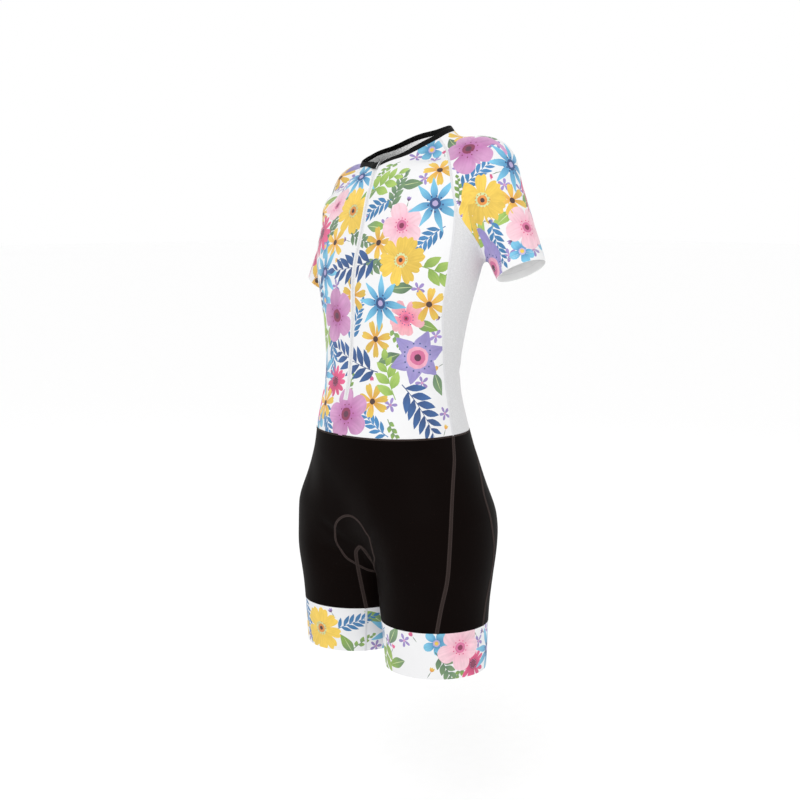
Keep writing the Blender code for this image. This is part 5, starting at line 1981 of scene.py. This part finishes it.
def zip_garage():
    """The soft patch over the top of the zip, with a pale piping along its free edge."""
    grid = finer(garage_grid(upper_seams()), 5)
    points = grid.reshape(-1, 3)
    over_slider = 1 / (1 + np.exp((np.abs(points[:, 0]) - GARAGE_BULGE) / GARAGE_BULGE_EDGE))
    proud = BINDING_PROUD + SEAM_GAP + GARAGE_WALL
    proud = proud + over_slider * (GARAGE_CLEARANCE + SLIDER_RISE - BINDING_PROUD)
    quads = facing_out(points, grid_faces(*grid.shape[:2]))
    verts, _, faces, _ = shell(points, quads, GARAGE_WALL, proud)
    cover, piping = Bundle(), Bundle()
    cover.add(verts, faces)
    cover.piece("zip_garage_patch", finish("binding"), replaces="zip_garage")
    edge = grid[:, 0]
    middles = laid(edge, proud.reshape(grid.shape[:2])[:, 0] - GARAGE_WALL / 2)
    run = unit(np.gradient(middles, axis=0))
    side = unit(np.cross(run, outward(edge)))
    across = side * PIPING_RADIUS, np.cross(side, run) * PIPING_RADIUS
    piping.add_tube(rounded(middles, run, *across, ((0, 1),), PIPING_SIDES))
    piping.piece("zip_garage_piping", finish("pale_thread"))


HEM_ROW_GAP = 2.4 * MM
HEM_THREAD = 0.5 * MM


def hem_ring(grid, height):
    """A line round a sleeve, a height above its hem."""
    fine = wrapped(grid, FINE)[::-1, ::3]
    lines = [fine[:, column] for column in range(fine.shape[1])]
    return settle(np.array([read_line(height, lengths_along(line), line) for line in lines]))


def sleeve_hems(thread, height, pitch):
    """The coverstitch of each sleeve's turned hem: two needle rows outside and one row inside."""
    for _, grid in both_hands(sleeve_grid(upper_seams())):
        for up, lift in ((0.0, 0.0), (HEM_ROW_GAP, 0.0), (0.0, -WALL)):
            stitched(thread, hem_ring(grid, height + up), 0.0, pitch, HEM_THREAD, lift)


def sew_body(sizes):
    """The pale seams of the body, sleeves and leg bands, and the sleeves' hems."""
    up = upper_seams()
    names = ("raglan_front", "raglan_back", "underarm", "side_front", "side_back")
    lines = [*(up[name] for name in names), band_grid(lower_seams(up))[:, 0]]
    ridge, thread = Bundle(), Bundle()
    sew(lines, ridge, thread, sizes.seam_width, sizes.stitch_pitch, thickness=0.32)
    ridge.piece("body_flatlock_seams", finish("pale_seam"))
    sleeve_hems(thread, sizes.sleeve_hem, sizes.stitch_pitch)
    thread.piece("body_seam_thread", finish("pale_thread"))


def sew_shorts(sizes):
    """The dark seams of the shorts, the waist, and the outline of the pad inside them."""
    up = upper_seams()
    low = lower_seams(up)
    legs = [low[name] for name in ("front_side", "rear_side", "inseam_front")]
    pad = settle(np.array(PAD_OUTLINE) * MM)
    waist = joined(up["waist_front"], up["waist_side"], up["waist_back"])
    rows = (
        (legs, sizes.shorts_seam_width, {"rows": (-0.32, 0.32)}),
        ([low["centre_back"], low["crotch"]], sizes.shorts_seam_width, {"mirror": False}),
        ([pad], sizes.pad_seam_width, {"mirror": False}),
        ([waist], sizes.waist_seam_width, {}),
    )
    ridge, thread = Bundle(), Bundle()
    for lines, width, settings in rows:
        sew(lines, ridge, thread, width, sizes.stitch_pitch, **settings)
    ridge.piece("shorts_flatlock_seams", finish("dark_seam"))
    thread.piece("shorts_seam_thread", finish("dark_thread"))


# -------- stage

FLOOR_DROP = 300 * MM
FLOOR_SIZE = 60.0
CAMERA_PLACE = (1.6777, -1.6265, -0.048)
CAMERA_LOOK_DOWN = 7.9
CAMERA_AZIMUTH = 47.0
CAMERA_LENS = 64.08
WORLD_LIGHT = 1.0
LAMPS_FACE = Vector((0, -0.06, -0.35))

# Columns: name, place, size and power in watts
LAMPS = (
    ("key_light", (0.9, -1.5, 0.7), 1.2, 10.5),
    ("fill_light", (2.9, -0.2, 0.9), 2.2, 3.0),
    ("back_light", (-1.6, 2.4, 1.6), 2.4, 5.0),
)


def add_floor():
    low = CAD_BOX[0][2] - FLOOR_DROP
    bpy.ops.mesh.primitive_plane_add(size=FLOOR_SIZE, location=(0, 0, low))
    floor = bpy.context.object
    floor.name = "floor"
    floor.data.materials.append(finish("card"))


def add_world():
    """Even white light all round, as in a white studio."""
    world = bpy.data.worlds.new("studio")
    world.use_nodes = True
    background = world.node_tree.nodes["Background"]
    background.inputs["Color"].default_value = (1, 1, 1, 1)
    background.inputs["Strength"].default_value = WORLD_LIGHT
    bpy.context.scene.world = world
    bpy.context.scene.view_settings.view_transform = "Standard"


def add_lamp(name, place, size, power):
    """A square soft light that faces the suit's chest."""
    data = bpy.data.lights.new(name, "AREA")
    data.size = size
    data.energy = power
    lamp = bpy.data.objects.new(name, data)
    lamp.location = place
    lamp.rotation_euler = (LAMPS_FACE - lamp.location).to_track_quat("-Z", "Y").to_euler()
    bpy.context.scene.collection.objects.link(lamp)


def add_camera():
    data = bpy.data.cameras.new("camera")
    data.lens = CAMERA_LENS
    camera = bpy.data.objects.new("camera", data)
    camera.location = CAMERA_PLACE
    camera.rotation_euler = (math.radians(90 - CAMERA_LOOK_DOWN), 0, math.radians(CAMERA_AZIMUTH))
    bpy.context.scene.collection.objects.link(camera)
    bpy.context.scene.camera = camera


# -------- settings


def length_setting(name, description, millimetres):
    return FloatProperty(
        name=name, description=description, default=millimetres * MM, min=0.05 * MM,
        subtype="DISTANCE", unit="LENGTH", precision=5,
    )


def colour_setting(name, description, code):
    return FloatVectorProperty(
        name=name, description=description, default=linear(code), size=3, min=0, max=1, subtype="COLOR",
    )


class SuitSizes(PropertyGroup):
    """Sizes of the suit's finer parts."""

    # lycra's loops are about 0.4 mm apart, and are drawn coarse enough to show
    knit_pitch: length_setting("Knit pitch", "Distance between the knitted loops as drawn", 1.3)
    mesh_pitch: length_setting("Mesh pitch", "Distance between the eyelets of the side panels", 2.2)
    seam_width: length_setting("Body seam width", "Width of the pale flatlock seams", 3.8)
    shorts_seam_width: length_setting("Shorts seam width", "Width of the dark flatlock seams", 6.5)
    pad_seam_width: length_setting("Pad seam width", "Width of the seam round the seat pad", 4.2)
    waist_seam_width: length_setting("Waist seam width", "Width of the seam at the waist", 3.0)
    stitch_pitch: length_setting("Stitch length", "Length of one stitch and the step to the next", 2.6)
    sleeve_hem: length_setting("Sleeve hem", "Depth of the turned hem of the sleeves", 12.0)


class SuitColours(PropertyGroup):
    """Colours of the suit's cloth and trim."""

    ground: colour_setting("Print ground", "White of the printed cloth between the flowers", "#DFDFE0")
    side_panel: colour_setting("Side panels", "White mesh under the arms", "#CECECF")
    shorts: colour_setting("Shorts", "Black of the shorts", "#080302")
    pale_seam: colour_setting("Pale seams", "Thread of the seams on the body and sleeves", "#D6D6D8")
    dark_seam: colour_setting("Dark seams", "Thread of the seams on the shorts", "#2E2523")
    binding: colour_setting("Binding", "Tape folded over the neck", "#0B0A0A")
    zip_tape: colour_setting("Zip", "Tape and coil of the zip", "#DADADB")


# -------- operators


class SUIT_OT_body(Operator):
    """Make the printed front and back of the body"""

    bl_idname = "suit.body"
    bl_label = "Body"

    def execute(self, context):
        up = upper_seams()
        grid, slit = front_sheet(up)
        printed_cloth("front", "", grid, slit_columns=slit)
        printed_cloth("back", "", back_sheet(up))
        return {"FINISHED"}


class SUIT_OT_sleeves(Operator):
    """Make the two printed raglan sleeves"""

    bl_idname = "suit.sleeves"
    bl_label = "Sleeves"

    def execute(self, context):
        for side, grid in both_hands(sleeve_grid(upper_seams())):
            up = -arm_direction(1 if side == "left" else -1)
            printed_cloth("sleeve", side, grid, up, tube=True)
        return {"FINISHED"}


class SUIT_OT_side_panels(Operator):
    """Make the white mesh panels under the arms"""

    bl_idname = "suit.side_panels"
    bl_label = "Side panels"

    def execute(self, context):
        for side, grid in both_hands(side_grid(upper_seams())):
            plain_cloth("side", side, [grid], (finish("mesh"), finish("inside")))
        return {"FINISHED"}


class SUIT_OT_shorts(Operator):
    """Make the black front, sides and seat of the shorts"""

    bl_idname = "suit.shorts"
    bl_label = "Shorts"

    def execute(self, context):
        low = lower_seams(upper_seams())
        cloth = (finish("black"), finish("black"))
        plain_cloth("shorts_front", "", shorts_front_grids(low), cloth)
        grids = shorts_side_grid(low), *shorts_back_grids(low)
        for (side, panel), (_, seat), (_, thigh) in zip(*map(both_hands, grids)):
            plain_cloth("shorts_side", side, [panel], cloth)
            plain_cloth("shorts_back", side, [seat, thigh], cloth)
        return {"FINISHED"}


class SUIT_OT_leg_bands(Operator):
    """Make the printed bands that grip the thighs"""

    bl_idname = "suit.leg_bands"
    bl_label = "Leg bands"

    def execute(self, context):
        for side, grid in both_hands(band_grid(lower_seams(upper_seams()))):
            printed_cloth("leg_band", side, grid, tube=True)
        return {"FINISHED"}


class SUIT_OT_seams(Operator):
    """Sew the flatlock seams and the hems"""

    bl_idname = "suit.seams"
    bl_label = "Seams and hems"

    def execute(self, context):
        sew_body(context.scene.suit_sizes)
        sew_shorts(context.scene.suit_sizes)
        return {"FINISHED"}


class SUIT_OT_zip(Operator):
    """Make the zip's tapes, coil and garage, and finish its slider"""

    bl_idname = "suit.zip"
    bl_label = "Zip"

    def execute(self, context):
        zip_tapes()
        zip_teeth()
        zip_garage()
        for slot in bpy.data.objects["zip_slider"].material_slots:
            slot.material = finish("slider")
        return {"FINISHED"}


class SUIT_OT_binding(Operator):
    """Fold the black binding over the neck edge"""

    bl_idname = "suit.binding"
    bl_label = "Neck binding"

    def execute(self, context):
        neck_binding()
        return {"FINISHED"}


class SUIT_OT_stage(Operator):
    """Set up the floor, the light and the camera"""

    bl_idname = "suit.stage"
    bl_label = "Stage"

    def execute(self, context):
        add_floor()
        add_world()
        for name, place, size, power in LAMPS:
            add_lamp(name, place, size, power)
        add_camera()
        return {"FINISHED"}


class SUIT_PT_panel(Panel):
    bl_idname = "SUIT_PT_panel"
    bl_label = "Triathlon suit"
    bl_space_type = "VIEW_3D"
    bl_region_type = "UI"
    bl_category = "Suit"

    def draw(self, context):
        layout = self.layout
        for operator in OPERATORS:
            layout.operator(operator.bl_idname)
        for group in (context.scene.suit_sizes, context.scene.suit_colours):
            box = layout.box()
            for name in group.__annotations__:
                box.prop(group, name)


OPERATORS = (
    SUIT_OT_body, SUIT_OT_sleeves, SUIT_OT_side_panels, SUIT_OT_shorts, SUIT_OT_leg_bands,
    SUIT_OT_seams, SUIT_OT_zip, SUIT_OT_binding, SUIT_OT_stage,
)
CLASSES = (SuitSizes, SuitColours, *OPERATORS, SUIT_PT_panel)


def register():
    for one in CLASSES:
        bpy.utils.register_class(one)
    bpy.types.Scene.suit_sizes = PointerProperty(type=SuitSizes)
    bpy.types.Scene.suit_colours = PointerProperty(type=SuitColours)


def unregister():
    del bpy.types.Scene.suit_sizes
    del bpy.types.Scene.suit_colours
    for one in reversed(CLASSES):
        bpy.utils.unregister_class(one)


def main():
    register()
    for operator in OPERATORS:
        group, name = operator.bl_idname.split(".")
        getattr(getattr(bpy.ops, group), name)()
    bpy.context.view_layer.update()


if __name__ == "__main__":
    main()
